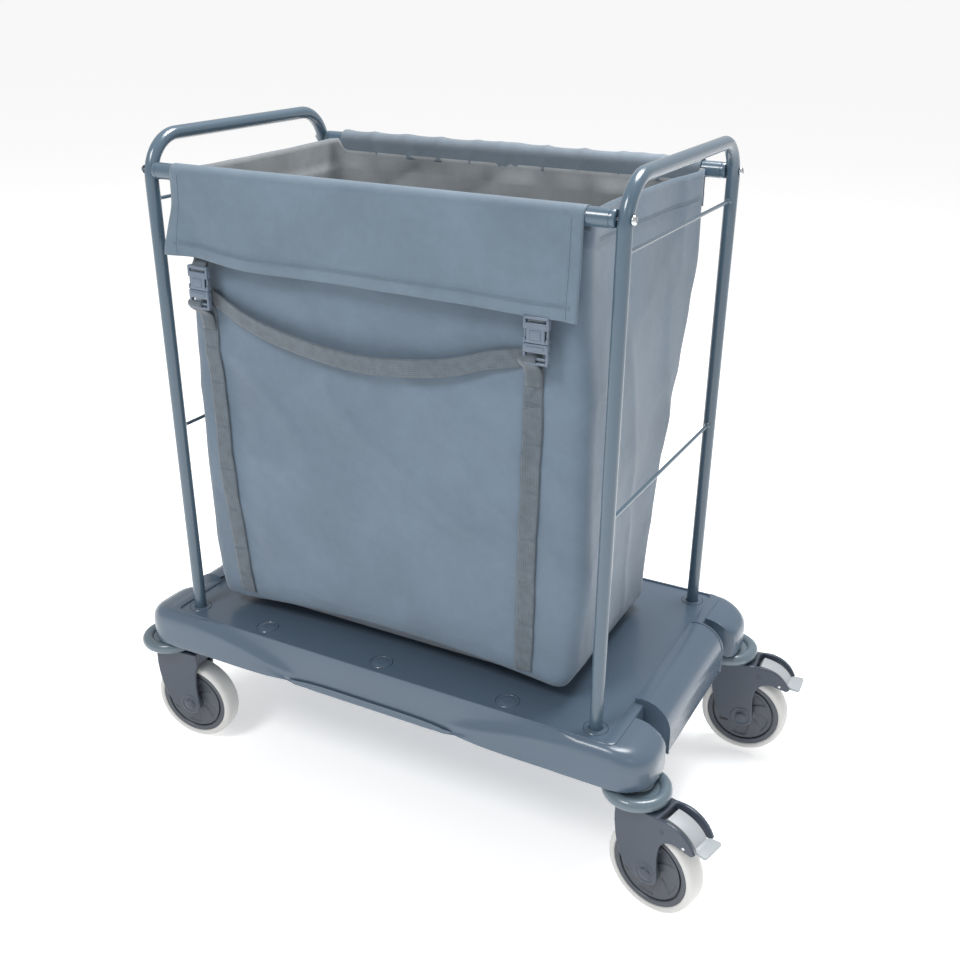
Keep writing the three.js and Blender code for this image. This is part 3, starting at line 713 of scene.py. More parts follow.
def side_plate(points, y, bevel=0.0, segments=2):
    """A plate cut to an outline of (x, z) and as thick as a pair of y values."""
    shape = bmesh.new()
    clean = [p for i, p in enumerate(points) if (Vector(p) - Vector(points[i - 1])).length > 2e-4]
    face = shape.faces.new([shape.verts.new((p[0], y[0], p[1])) for p in clean])
    made = bmesh.ops.extrude_face_region(shape, geom=[face])["geom"]
    bmesh.ops.translate(shape, vec=(0, y[1] - y[0], 0), verts=verts_in(made))
    bmesh.ops.recalc_face_normals(shape, faces=shape.faces)
    if bevel:
        rims = [e for e in shape.edges if abs(e.verts[0].co.y - e.verts[1].co.y) < 1e-7]
        rounded(shape, rims, bevel, segments)
    return shape


def fork(braked):
    shape = bmesh.new()
    back = 0.056 if braked else 0.064
    head = bmesh.new()
    nose = [(0.028 * math.cos(a), 0.028 * math.sin(a))
            for a in (math.pi / 2 + math.pi * i / 24 for i in range(25))]
    plan = [(back, LEG_OUT), *nose, (back, -LEG_OUT)]
    face = head.faces.new([head.verts.new((x, y, WEB_FOOT)) for x, y in plan])
    made = bmesh.ops.extrude_face_region(head, geom=[face])["geom"]
    bmesh.ops.translate(head, vec=(0, 0, FORK_TOP - WEB_FOOT), verts=verts_in(made))
    bmesh.ops.recalc_face_normals(head, faces=head.faces)
    upper = [e for e in head.edges if all(v.co.z > FORK_TOP - 1e-6 for v in e.verts)]
    rounded(head, upper, 0.003, 3)
    merged(shape, head)
    for side in (-1, 1):
        faces = (LEG_IN + 0.0002, LEG_OUT) if side > 0 else (-LEG_OUT, -LEG_IN - 0.0002)
        merged(shape, side_plate(leg_outline(braked), faces))
        boss = lathe([
            (0, 0.0004), (0.0118, 0.0004), (0.0124, -0.0012), (0.0142, -0.0012), (0.0150, 0.0006),
            (0.0178, 0.0006), (0.0188, -0.0010), (0.0188, -0.0058), (0, -0.0058),
        ], steps=48)
        merged(shape, shifted(swung(boss, -90 * side, "X"), (TRAIL, side * 0.0284, WHEEL_R)))
    apron = lathe([(0.0225, 0.137), (0.0278, 0.134), (0.0279, 0.160), (0.0225, 0.160), (0.0225, 0.137)],
                  steps=72)
    cut = [v for v in apron.verts if v.co.x > 0.004]
    bmesh.ops.delete(apron, geom=cut, context="VERTS")
    bmesh.ops.holes_fill(apron, edges=[e for e in apron.edges if e.is_boundary], sides=0)
    merged(shape, apron)
    return shape


def against_arms(profile, x, z):
    """A small turned piece set into the outer face of both arms."""
    shape = bmesh.new()
    for side in (-1, 1):
        small = swung(lathe(profile, steps=24), -90 * side, "X")
        merged(shape, shifted(small, (x, side * LEG_OUT, z)))
    return shape


def arm_rivets():
    return against_arms([
        (0, -0.001), (0.0027, -0.001), (0.0027, 0.0003), (0.0024, 0.0009), (0.0015, 0.0013),
        (0, 0.0014),
    ], 0.1005, 0.1545)


def arm_holes():
    return against_arms([
        (0, -0.0004), (0.0030, -0.0004), (0.0033, 0.0002), (0.0029, 0.0003), (0.0026, -0.0002),
        (0, -0.0002),
    ], 0.0640, 0.1640)


hole_shade = plastic("hole_shade", (0.012, 0.015, 0.020), 0.6)
fork_plastic = plastic("fork_plastic", (0.050, 0.066, 0.092), 0.30, grain=0.15, grain_scale=1400, coat=0.1)
for name, (side, end, heading, braked) in CORNERS.items():
    piece = finished(f"fork_housing_{name}", stood(fork(braked), name), fork_plastic,
                     f"castor_{name}", smooth=0)
    modify(piece, "moulding", "REMESH", mode="VOXEL", voxel_size=0.0010, use_smooth_shade=True)
    modify(piece, "radii", "SMOOTH", factor=0.5, iterations=3)
    if braked:
        finished(f"arm_rivets_{name}", stood(arm_rivets(), name), screw_steel,
                 f"castor_{name}")
        finished(f"arm_holes_{name}", stood(arm_holes(), name), hole_shade,
                 f"castor_{name}")
    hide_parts(f"castor_fork_{name}")


# ---------------------------------------------------------------- castors: wheels and axles
# A dark nylon centre with a groove near its rim and five shallow curved panels, an off-white
# crowned tread moulded onto it, and a bolt whose ends are covered by push-fit caps.

RIM_R = 0.063


def on_axle(shape, name):
    return stood(shifted(swung(shape, 90, "X"), (TRAIL, 0, WHEEL_R)), name)


def both_faces(half):
    return half + [(r, -v) for r, v in reversed(half)] + [half[0]]


def wheel_centre():
    half = [(0.0053, -0.0203), (0.0138, -0.0203), (0.0146, -0.0196), (0.0152, -0.0160)]
    half += [(0.0152 + 0.0012 * i, -0.0152) for i in range(1, 29)]
    half += [(0.0500, -0.0155), (0.0512, -0.0150), (0.0516, -0.0108), (0.0538, -0.0108),
             (0.0543, -0.0150), (0.0552, -0.0160), (0.0608, -0.0162), (0.0626, -0.0158)]
    shape = lathe(both_faces(half), steps=120)
    for v in shape.verts:
        r, angle = v.co.xy.length, math.atan2(v.co.y, v.co.x)
        if 0.017 < r < 0.0495 and abs(abs(v.co.z) - 0.0152) < 1e-5:
            swirl = math.cos(5 * (angle + 14 * (r - 0.017)))
            depth = ease((swirl + 0.1) / 0.35) * ease((r - 0.019) / 0.003) * ease((0.047 - r) / 0.003)
            v.co.z -= math.copysign(0.0022 * depth, v.co.z)
    return shape


def tread():
    half = [(RIM_R, -0.0160), (0.0636, -0.0172), (0.0652, -0.0179), (0.0672, -0.0180),
            (0.0700, -0.0174), (0.0722, -0.0158), (0.0738, -0.0130), (0.0746, -0.0095),
            (0.0750, -0.0050), (0.0750, 0)]
    return lathe(both_faces(half), steps=120)


def axle_bolt():
    reach = LEG_OUT + 0.0005
    cap = [(0, reach + 0.0030), (0.0060, reach + 0.0029), (0.0082, reach + 0.0024),
           (0.0096, reach + 0.0012), (0.0100, reach + 0.0001), (0.0050, reach)]
    profile = cap + [(r, -v) for r, v in reversed(cap)]
    return lathe(profile, steps=40)


centre_plastic = plastic("centre_plastic", (0.070, 0.080, 0.098), 0.36, grain=0.18)
tread_rubber = plastic("tread_rubber", (0.62, 0.62, 0.605), 0.50, grain=0.30, grain_scale=1100, drift=0.07)
for name in CORNERS:
    centre = finished(f"wheel_centre_{name}", on_axle(wheel_centre(), name), centre_plastic,
                      f"wheel_{name}")
    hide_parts(f"wheel_core_{name}")
    tyre = finished(f"tread_{name}", on_axle(tread(), name), tread_rubber, f"wheel_{name}",
                    smooth=60)
    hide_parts(f"tyre_{name}")
    bolt = finished(f"axle_caps_{name}", on_axle(axle_bolt(), name), fork_plastic,
                    f"castor_{name}")
    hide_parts(f"wheel_axle_{name}")


# ---------------------------------------------------------------- castors: brake pedals
# Light-grey nylon pedal between the arms: an arched strip that ends in a flared toe tab, with
# a brake shoe under it. It turns on a pin, drawn in the pedal's own plastic, and a rivet shows near the
# toe.

PEDAL_HALF, STRIP_HALF = 0.018, 0.0155


def pedal_strip():
    top = [Vector((0.060, 0.172)), Vector((0.064, 0.179))]
    top += curve_between((0.064, 0.179), (0.098, 0.177), (0.113, 0.153), 12)
    top += [Vector((0.119, 0.1524)), Vector((0.119, 0.1476)), Vector((0.110, 0.147))]
    top += curve_between((0.110, 0.147), (0.094, 0.172), (0.070, 0.172), 12)
    top += [Vector((0.066, 0.168))]
    return side_plate(top, (-STRIP_HALF, STRIP_HALF), 0.0011)


def toe_tab():
    shape = block((0.113, 0.1345), (-0.0195, 0.0195), (0.1474, 0.1526))
    for v in shape.verts:
        if v.co.x > 0.12:
            v.co.y *= 1.18
            v.co.z = 0.1500 + (v.co.z - 0.1500) * 0.8 + 0.0002
    upright = [e for e in shape.edges
               if abs(e.verts[0].co.x - e.verts[1].co.x) < 1e-6
               and abs(e.verts[0].co.y - e.verts[1].co.y) < 1e-6]
    rounded(shape, upright, 0.006, 5)
    rims = [e for e in shape.edges if abs(e.calc_face_angle(0)) > 0.6]
    rounded(shape, rims, 0.0012, 2)
    return shape


def pedal():
    shape = pedal_strip()
    merged(shape, toe_tab())
    shoe = [(0.068, 0.166), (0.068, 0.156), (0.080, 0.1465), (0.084, 0.149), (0.076, 0.168)]
    merged(shape, side_plate(shoe, (-0.012, 0.012), 0.0008))
    for reach, radius in ((PEDAL_HALF, 0.0065), (LEG_OUT - 0.0003, 0.0030)):
        pin = lathe([(0, -reach), (radius, -reach), (radius, reach), (0, reach)], steps=24)
        merged(shape, shifted(swung(pin, 90, "X"), (0.066, 0, 0.165)))
    return shape


pedal_plastic = plastic("pedal_plastic", (0.37, 0.40, 0.42), 0.45, grain=0.55, grain_scale=900)
for name, (side, end, heading, braked) in CORNERS.items():
    if braked:
        piece = finished(f"foot_pedal_{name}", stood(pedal(), name), pedal_plastic,
                         f"pedal_{name}")
        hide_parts(f"brake_pedal_{name}")


# ---------------------------------------------------------------- bag
# One bag sewn from coated polyester cloth, hung between the rails. Its front is taller than it
# is deep, bellies out a little, and its bottom hangs just clear of the deck.

BAG_FLOOR, BAG_TOP, END_TOP = 0.292, 0.9845, 1.0035
PLAN_X, PLAN_Y, PLAN_CORNER = 0.320, 0.190, 0.019
FRONT_HALF = ((0.29, 0.303), (0.34, 0.317), (0.48, 0.329), (0.60, 0.330), (0.74, 0.329),
              (0.86, 0.322), (1.02, 0.320))
LEFT_HALF = ((0.29, 0.341), (0.34, 0.343), (0.48, 0.338), (0.60, 0.335), (0.74, 0.332),
             (0.86, 0.325), (1.02, 0.322))
BACK_HALF = ((0.29, 0.300), (0.40, 0.301), (0.51, 0.304), (0.64, 0.315), (0.71, 0.323),
             (0.80, 0.330), (0.88, 0.334), (1.02, 0.331))


def read_off(table, at):
    """The smooth value between the rows of a small table."""
    for (a, low), (b, high) in zip(table, table[1:]):
        if at <= b:
            return low + (high - low) * ease((at - a) / (b - a))
    return table[-1][1]


def plan_point(share):
    """A point and outward direction on the bag's rounded plan, from the middle of the back."""
    straight_x, straight_y = 2 * (PLAN_X - PLAN_CORNER), 2 * (PLAN_Y - PLAN_CORNER)
    arc = PLAN_CORNER * math.pi / 2
    walk = share * (2 * straight_x + 2 * straight_y + 4 * arc)
    legs = ((straight_x / 2, (0, PLAN_Y), (1, 0)), (arc, (1, 1), 90), (straight_y, (PLAN_X, 0), (0, -1)),
            (arc, (1, -1), 0), (straight_x, (0, -PLAN_Y), (-1, 0)), (arc, (-1, -1), -90),
            (straight_y, (-PLAN_X, 0), (0, 1)), (arc, (-1, 1), -180), (straight_x / 2, (0, PLAN_Y), (1, 0)))
    for order, (length, where, heading) in enumerate(legs):
        if walk <= length or order == len(legs) - 1:
            break
        walk -= length
    if isinstance(heading, tuple):
        start = {0: 0, 8: -straight_x / 2}.get(order, -length / 2)
        point = Vector(where) + Vector(heading) * (start + walk)
        return point, Vector((-heading[1], heading[0]))
    angle = math.radians(heading - 90 * walk / length)
    middle = Vector((where[0] * (PLAN_X - PLAN_CORNER), where[1] * (PLAN_Y - PLAN_CORNER)))
    out = Vector((math.cos(angle), math.sin(angle)))
    return middle + PLAN_CORNER * out, out


def crease(at):
    """A sharp-crested fold pattern between 0 and 1."""
    return (1 - abs(noise.noise(at))) ** 4


def cloth_relief(x, y, z, out):
    """How far the hung cloth stands out of its plain shape, in metres."""
    rise = (z - BAG_FLOOR) / (BAG_TOP - BAG_FLOOR)
    face = max(0.0, -out.y) ** 2
    rear = max(0.0, out.y) ** 2
    side = out.x ** 2
    soft = noise.noise((x * 5, z * 4, 1.7))
    front = 0.0060 * soft + 0.0034 * crease((x * 4 + 3, z * 8 + x * 3, 5.1))
    front += 0.0040 * crease((x * 2.2, z * 11 - x * 2, 1.1)) * ease((rise - 0.45) / 0.3)
    front += 0.0030 * math.sin(math.pi * min(max(rise, 0), 1)) * math.cos(x / 0.33 * 1.4)
    pull = math.exp(-((abs(x) - (0.250 + 0.018 * rise)) / 0.022) ** 2)
    front -= 0.0050 * pull * ease((0.78 - rise) / 0.2)
    front += 0.0035 * crease((x * 8, z * 22, 9.0)) * ease((0.16 - rise) / 0.16)
    ends = 0.0050 * noise.noise((y * 7, z * 3.1, 7.3 + x))
    ends += 0.0035 * crease((y * 9 + z * 2.5, z * 2.2, 2.2 + x))
    ends += 0.0030 * crease((y * 5 - z * 6, z * 3, 8.2 + x))
    ends -= 0.010 * ease((rise - 0.80) / 0.2) * math.cos(y / 0.2 * math.pi / 2)
    back = 0.0130 * noise.noise((x * 7, z * 3.0, 4.4)) + 0.0120 * crease((x * 8 + z * 2, z * 2.0, 6.6))
    back += 0.0080 * crease((x * 5 - z * 6, z * 3.5, 3.3)) + 0.003 * crease((x * 12, z * 5, 1.3))
    back -= 0.010
    keep = 1 - ease((rise - 0.955) / 0.045) * (1 - side)
    return (face * front + side * ends + rear * back) * keep * ease(rise / 0.05)


def bag_outline(share, z):
    plan, out = plan_point(share)
    rise = min(max((z - BAG_FLOOR) / (BAG_TOP - BAG_FLOOR), 0), 1)
    belly = math.sin(math.pi * rise)
    front = -(0.184 + 0.016 * rise + 0.012 * belly)
    back = 0.158 + 0.042 * rise + 0.010 * belly
    y = (front + back) / 2 + plan.y / PLAN_Y * (back - front) / 2
    depth = ease((y - front) / (back - front))
    near = FRONT_HALF if plan.x > 0 else LEFT_HALF
    reach = read_off(near, z) * (1 - depth) + read_off(BACK_HALF, z) * depth
    x = plan.x / PLAN_X * reach
    lift = cloth_relief(x, y, z, out)
    return Vector((TRAY_X + x + out.x * lift, y + out.y * lift, z)), out


def bag_heights():
    """Rows from the floor's middle, round the bottom edge and up to the top hem."""
    floor = [(inset, BAG_FLOOR) for inset in (1.0, 0.8, 0.6, 0.4, 0.25, 0.12, 0.05)]
    edge = [(0.035 * (1 - math.sin(a)), BAG_FLOOR + 0.010 * (1 - math.cos(a)))
            for a in (math.radians(v) for v in (25, 45, 65, 90))]
    body = [(0.0, BAG_FLOOR + 0.010 + (0.955 - BAG_FLOOR - 0.010) * i / 76) for i in range(1, 77)]
    hem = [(0.0, 0.9556), (0.0, 0.964), (0.0, 0.973), (0.0, 0.979), (0.0, BAG_TOP)]
    return floor + edge + body + hem


def bag_shell():
    rows, columns = bag_heights(), 250
    shape = bmesh.new()
    shape.loops.layers.uv.new("UVMap")
    bmesh.ops.create_grid(
        shape, x_segments=columns, y_segments=len(rows) - 1, size=1, calc_uvs=True,
    )
    sag = Vector((TRAY_X, -0.012, BAG_FLOOR))
    for v in shape.verts:
        share = (v.co.x + 1) / 2
        inset, z = rows[round((v.co.y + 1) / 2 * (len(rows) - 1))]
        point, out = bag_outline(share % 1.0, z)
        if z > 0.955:
            turned = out.x ** 2 * 6 if out.y > 0 else out.x ** 2 * 2 - 1
            point.z += (END_TOP - BAG_TOP) * (z - 0.955) / (BAG_TOP - 0.955) * ease(turned)
        if z > 0.9551 and abs(out.x) > 0.5:
            point.x += math.copysign(0.0011, out.x)
        if inset:
            middle = Vector((sag.x, sag.y, z))
            point = point.lerp(middle, inset)
            point.z += 0.0025 * noise.noise((point.x * 9, point.y * 9, 2.0)) * inset
        if z < BAG_FLOOR + 0.09 and inset < 0.1:
            raise_share = (1 - (point.x - TRAY_X) ** 2 / 0.09) * max(0.0, -out.y)
            point.z += 0.020 * max(raise_share, 0) * ease((BAG_FLOOR + 0.09 - z) / 0.09)
        v.co = point
    bmesh.ops.remove_doubles(shape, verts=shape.verts, dist=1e-5)
    bmesh.ops.recalc_face_normals(shape, faces=shape.faces)
    return shape


def two_tones(nodes, colour, dark, light):
    """A ramp between two shades of a colour, each given as (place, share)."""
    ramp = nodes.new("ShaderNodeValToRGB")
    for stop, (at, share) in zip(ramp.color_ramp.elements, (dark, light)):
        stop.position = at
        stop.color = shade_of(colour, share)
    return ramp


def coated_cloth(name, colour, across, along, rough=0.62, sheen=0.25):
    """Plain-woven coated cloth: threads at the piece's own lengths, mottling and soft crumples."""
    paint, nodes, links, shader = new_paint(name)
    shader.inputs["Sheen Weight"].default_value = sheen
    shader.inputs["Sheen Roughness"].default_value = 0.5
    shader.inputs["Roughness"].default_value = rough
    place = add_node(nodes, "TexCoord")
    lengths = add_node(nodes, "Mapping", Scale=(across, along, 1))
    links.new(place.outputs["UV"], lengths.inputs["Vector"])
    weave = nodes.new("ShaderNodeMath")
    weave.operation = "MAXIMUM"
    for order, direction in enumerate(("X", "Y")):
        wave = add_node(nodes, "TexWave", Scale=420, Distortion=1.2, Detail=1)
        wave.bands_direction = direction
        links.new(lengths.outputs["Vector"], wave.inputs["Vector"])
        links.new(wave.outputs["Fac"], weave.inputs[order])
    handled = add_node(nodes, "TexNoise", Scale=60, Detail=8, Roughness=0.65)
    broad = add_node(nodes, "TexNoise", Scale=7, Detail=6, Distortion=0.6)
    crumple = add_node(nodes, "TexNoise", Scale=26, Detail=4)
    for node in (handled, broad, crumple):
        links.new(place.outputs["Object"], node.inputs["Vector"])
    both = add_node(nodes, "Mix", Factor=0.35)
    links.new(broad.outputs["Fac"], both.inputs["A"])
    links.new(handled.outputs["Fac"], both.inputs["B"])
    tint = two_tones(nodes, colour, (0.30, 0.82), (0.72, 1.14))
    links.new(both.outputs["Result"], tint.inputs["Fac"])
    shaded = nodes.new("ShaderNodeMix")
    shaded.data_type = "RGBA"
    shaded.blend_type = "MULTIPLY"
    shaded.inputs["Factor"].default_value = 0.22
    links.new(tint.outputs["Color"], shaded.inputs["A"])
    links.new(weave.outputs["Value"], shaded.inputs["B"])
    links.new(shaded.outputs["Result"], shader.inputs["Base Color"])
    folds = add_node(nodes, "Bump", Strength=0.35, Distance=0.004)
    links.new(crumple.outputs["Fac"], folds.inputs["Height"])
    bump = add_node(nodes, "Bump", Strength=0.35, Distance=0.0003)
    links.new(weave.outputs["Value"], bump.inputs["Height"])
    links.new(folds.outputs["Normal"], bump.inputs["Normal"])
    links.new(bump.outputs["Normal"], shader.inputs["Normal"])
    return paint


BAG_GIRTH, BAG_DROP = 2.05, 0.98
bag_cloth = coated_cloth("bag_cloth", (0.130, 0.186, 0.250), BAG_GIRTH, BAG_DROP)
# Painted light: the inside face of the bag cloth is a lighter, greyer copy of the cloth's colour, standing
# in for how light falls inside the bag.
bag_inside_painted_light = coated_cloth("bag_inside_painted_light", (0.270, 0.292, 0.310), BAG_GIRTH, BAG_DROP, rough=0.8)
bag_mesh = bag_shell()
bag_surface = BVHTree.FromBMesh(bag_mesh)
bag = finished("bag_cloth_shell", bag_mesh, bag_cloth, "trolley", smooth=0)
bag.data.materials.append(bag_inside_painted_light)
modify(bag, "cloth_thickness", "SOLIDIFY", thickness=0.0012, offset=-1, material_offset=1)
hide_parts("bag_body")


# ---------------------------------------------------------------- front flap and back hem
# The bag's front edge goes over the front rail and hangs outside as a deep flap; the back edge
# goes over the back rail and ends in a short hem. Both have turned edges, and the flap's lower hem is
# double-stitched.

FOLD_R, FLAP_HALF = RAIL_R + 0.0006, 0.3225


def over_rail(side, run, drop):
    """A point on the fold line: run is 0 at the inner end and 1 at the outer hem."""
    inner = RAIL_Z - BAG_TOP + 0.006
    arc = math.pi * FOLD_R
    outer = RAIL_Z - drop
    walk = run * (inner + arc + outer)
    if walk < inner:
        return -side * FOLD_R, RAIL_Z - inner + walk
    if walk < inner + arc:
        angle = math.pi * (walk - inner) / arc
        return -side * FOLD_R * math.cos(angle), RAIL_Z + FOLD_R * math.sin(angle)
    return side * FOLD_R, RAIL_Z - (walk - inner - arc)


def fold_sheet(side, drop, rows, columns=150):
    shape = bmesh.new()
    shape.loops.layers.uv.new("UVMap")
    bmesh.ops.create_grid(shape, x_segments=columns, y_segments=rows, size=1, calc_uvs=True)
    for v in shape.verts:
        across, run = v.co.x, (v.co.y + 1) / 2
        y, z = over_rail(side, run, drop(across))
        hang = ease((RAIL_Z - z) / 0.06) if y * side > 0 else 0
        if side > 0:
            swell = 0.0008 + 0.0026 * crease((across * 5, z * 6, 2.0))
            away = Vector((y, z - RAIL_Z)) if z > RAIL_Z else Vector((y, 0))
            away.normalize()
            y += away.x * swell
            z += away.y * swell
        x = across * (FLAP_HALF + 0.002 * hang * noise.noise((z * 14, across, 1.0)))
        stand = 0.0018 + 0.0030 * crease((x * 6 + 1.5, z * 9, 4.0))
        stand += 0.0020 * noise.noise((x * 9, z * 12, 2.5))
        if side < 0:
            curl = ease((-across - 0.86) / 0.14) * ease((0.965 - z) / 0.08)
            stand += 0.017 * curl + 0.004 * ease((across - 0.93) / 0.07) * ease((0.93 - z) / 0.05)
            x -= 0.006 * curl
            stand += 0.0035 * math.sin(across * 4.2 + 0.8) ** 2 * ease((0.95 - z) / 0.08)
        thick = 0.0011 if (RAIL_Z - z > RAIL_Z - drop(across) - 0.022 and y * side > 0) else 0
        edge_band = 0.0009 if abs(across) > 0.945 and y * side > 0 else 0
        v.co = (TRAY_X + x, side * POST_Y + y + side * (hang * stand + thick + edge_band), z)
    return shape


def front_drop(across):
    """Where the flap's lower edge hangs, lower in the middle than at its left corner."""
    return 0.876 + 0.012 * ease((-across - 0.55) / 0.45) - 0.004 * ease((across - 0.2) / 0.6)


flap_cloth = coated_cloth("flap_cloth", (0.130, 0.186, 0.244), 0.645, 0.19)
# Painted light: the back fold is a lighter, greyer copy of the cloth's colour, like the bag's inside face,
# for how light falls inside the bag.
back_fold_painted_light = coated_cloth("back_fold_painted_light", (0.160, 0.205, 0.250), 0.645, 0.12)
flap_mesh = fold_sheet(-1, front_drop, 70)
flap_surface = BVHTree.FromBMesh(flap_mesh)
flap = finished("bag_flap", flap_mesh, flap_cloth, "trolley", smooth=0)
back_hem = finished("bag_back_fold", fold_sheet(1, lambda across: 0.942, 46), back_fold_painted_light, "trolley",
                    smooth=0)
for piece, node, length in ((flap, "bag_front_flap", 0.186), (back_hem, "bag_back_hem", 0.120)):
    modify(piece, "cloth_thickness", "SOLIDIFY", thickness=0.0013, offset=0)
    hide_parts(node)


# ---------------------------------------------------------------- webbing straps and handle
# 27 mm polyester webbing: two straps are bar-tacked down the front panel under the buckles, and
# a carrying loop hangs between them.

WEB_WIDTH, WEB_THICK = 0.027, 0.0016
STRAP_TOP, STRAP_FOOT = 0.830, 0.312


def struck(surface, start, heading):
    """Where a straight line from outside first meets a cloth surface, or None."""
    return surface.ray_cast(Vector(start), Vector(heading))[0]


def on_bag(x, z, lift=0.0):
    """A point just outside the bag's front at a tray x and a height."""
    hit = struck(bag_surface, (TRAY_X + x, -0.6, z), (0, 1, 0))
    return hit + Vector((0, -lift, 0)) if hit else Vector((TRAY_X + x, -0.19 - lift, z))


def strap_x(side, z):
    share = min(max((STRAP_TOP - z) / (STRAP_TOP - STRAP_FOOT), 0), 1)
    if side > 0:
        return 0.255 - 0.018 * share ** 1.2
    return -(0.294 - 0.014 * share)


def ribbon(place, rows, columns=8):
    shape = bmesh.new()
    shape.loops.layers.uv.new("UVMap")
    bmesh.ops.create_grid(shape, x_segments=columns, y_segments=rows, size=1, calc_uvs=True)
    for v in shape.verts:
        v.co = place(v.co.x, (v.co.y + 1) / 2)
    return shape


def strap_place(side):
    def place(across, run):
        z = STRAP_FOOT + (STRAP_TOP - STRAP_FOOT) * run
        x = strap_x(side, z)
        middle = on_bag(x, z, 0.0012)
        edge = on_bag(x + across * WEB_WIDTH / 2, z, 0.0012)
        ripple = 0.0012 * abs(math.sin(run * math.pi * 7)) ** 0.6 * (1 - across ** 2 * 0.4)
        y = min(middle.y, edge.y) * 0.5 + edge.y * 0.5 - ripple
        tilt = 0.0006 * across * math.sin(run * 9 + side)
        return Vector((TRAY_X + x + across * WEB_WIDTH / 2, y + tilt, z))
    return place


def handle_place(across, run):
    """The slack loop between the straps, on edge, leaning out from the bag."""
    span = 2 * run - 1
    x = 0.262 * span - 0.018
    dip = (1 - abs(span) ** 2.1)
    z = 0.822 - 0.056 * dip - 0.010 * ease((span - 0.75) / 0.25) + 0.003 * noise.noise((x * 9, 0, 5.5))
    lean = 0.30 + 0.25 * math.sin(run * 5.1 + 0.4)
    stand = 0.002 + 0.0150 * dip ** 0.7 + 0.0030 * noise.noise((x * 7, 3.1, 0))
    base = on_bag(x, min(z, 0.86)).y
    up = across * WEB_WIDTH / 2
    return Vector((TRAY_X + x, base - stand - 0.004 * lean * across, z + up * 0.97))


def webbing(name, colour, width, length):
    """Ribbed polyester webbing: ribs across the ribbon, cords along it and some wear."""
    paint, nodes, links, shader = new_paint(name)
    shader.inputs["Roughness"].default_value = 0.72
    shader.inputs["Sheen Weight"].default_value = 0.3
    place = add_node(nodes, "TexCoord")
    lengths = add_node(nodes, "Mapping", Scale=(width, length, 1))
    links.new(place.outputs["UV"], lengths.inputs["Vector"])
    weave = nodes.new("ShaderNodeMath")
    weave.operation = "MULTIPLY"
    for order, (direction, scale, waver) in enumerate((("Y", 160, 0.8), ("X", 95, 0.3))):
        wave = add_node(nodes, "TexWave", Scale=scale, Distortion=waver)
        wave.bands_direction = direction
        links.new(lengths.outputs["Vector"], wave.inputs["Vector"])
        links.new(wave.outputs["Fac"], weave.inputs[order])
    worn = add_node(nodes, "TexNoise", Scale=90, Detail=6)
    links.new(place.outputs["Object"], worn.inputs["Vector"])
    mixed = nodes.new("ShaderNodeMath")
    mixed.operation = "MULTIPLY_ADD"
    mixed.inputs[1].default_value = 0.55
    links.new(weave.outputs["Value"], mixed.inputs[0])
    links.new(worn.outputs["Fac"], mixed.inputs[2])
    tint = two_tones(nodes, colour, (0.25, 0.66), (1.0, 1.25))
    links.new(mixed.outputs["Value"], tint.inputs["Fac"])
    links.new(tint.outputs["Color"], shader.inputs["Base Color"])
    bump = add_node(nodes, "Bump", Strength=0.6, Distance=0.0005)
    links.new(weave.outputs["Value"], bump.inputs["Height"])
    links.new(bump.outputs["Normal"], shader.inputs["Normal"])
    return paint


strap_webbing = webbing("strap_webbing", (0.098, 0.124, 0.150), WEB_WIDTH, 0.52)
straps = {}
for name, side in (("right", 1), ("left", -1)):
    shape = ribbon(strap_place(side), 120)
    piece = finished(f"webbing_strap_{name}", shape, strap_webbing, "trolley", smooth=0)
    modify(piece, "web_thickness", "SOLIDIFY", thickness=WEB_THICK, offset=0)
    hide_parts(f"front_strap_{name}")
    straps[name] = piece
handle = finished("carry_loop", ribbon(handle_place, 110), strap_webbing, "trolley", smooth=0)
modify(handle, "web_thickness", "SOLIDIFY", thickness=WEB_THICK, offset=0)
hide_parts("carry_handle")


# ---------------------------------------------------------------- stitching
# Lock-stitched thread, a little lighter than the cloth: double rows along the flap's and end
# panels' hems, bar tacks across each strap, and a stitched box on each strap.

STITCH = (0.0026, 0.0007, 0.0006)


def stitch_row(shape, points, pitch=0.0038):
    """Small thread bumps laid along a polyline."""
    carry = 0.0
    for a, b in zip(points, points[1:]):
        run = b - a
        length = run.length
        if length < 1e-6:
            continue
        turn = run.to_track_quat("X", "Z").to_matrix().to_4x4()
        at = carry
        while at < length:
            place = Matrix.Translation(a + run * (at / length)) @ turn @ Matrix.Diagonal((*STITCH, 1))
            bmesh.ops.create_cube(shape, size=1, matrix=place)
            at += pitch
        carry = at - length


def on_flap(across, z, lift=0.0013):
    hit = struck(flap_surface, (TRAY_X + across * FLAP_HALF, -0.6, z), (0, 1, 0))
    return hit + Vector((0, -lift, 0)) if hit else None


def hem_stitches():
    shape = bmesh.new()
    for rise in (0.0165, 0.0200):
        row = [on_flap(-0.97 + 1.94 * i / 60, front_drop(-0.97 + 1.94 * i / 60) + rise) for i in range(61)]
        stitch_row(shape, [p for p in row if p])
    for across in (-0.960, 0.950):
        column = [on_flap(across, 0.998 - (0.998 - front_drop(across) - 0.004) * i / 30) for i in range(31)]
        stitch_row(shape, [p for p in column if p])
    return shape


def strap_tacks():
    shape = bmesh.new()
    for name, side in (("right", 1), ("left", -1)):
        place = strap_place(side)
        half = WEB_THICK / 2 + 0.0003
        for run in (0.03, 0.16, 0.30, 0.44, 0.58, 0.72, 0.83):
            for line in (0, 0.0045):
                row = [place(-0.8 + 1.6 * i / 8, run + line) + Vector((0, -half, 0)) for i in range(9)]
                stitch_row(shape, row, 0.0030)
        low, high = (0.84, 0.90) if side > 0 else (0.03, 0.075)
        corners = [(-0.75, low), (0.75, low), (-0.75, high), (0.75, high), (-0.75, low)]
        stitch_row(shape, [place(a, r) + Vector((0, -half - 0.0002, 0)) for a, r in corners], 0.0030)
    return shape


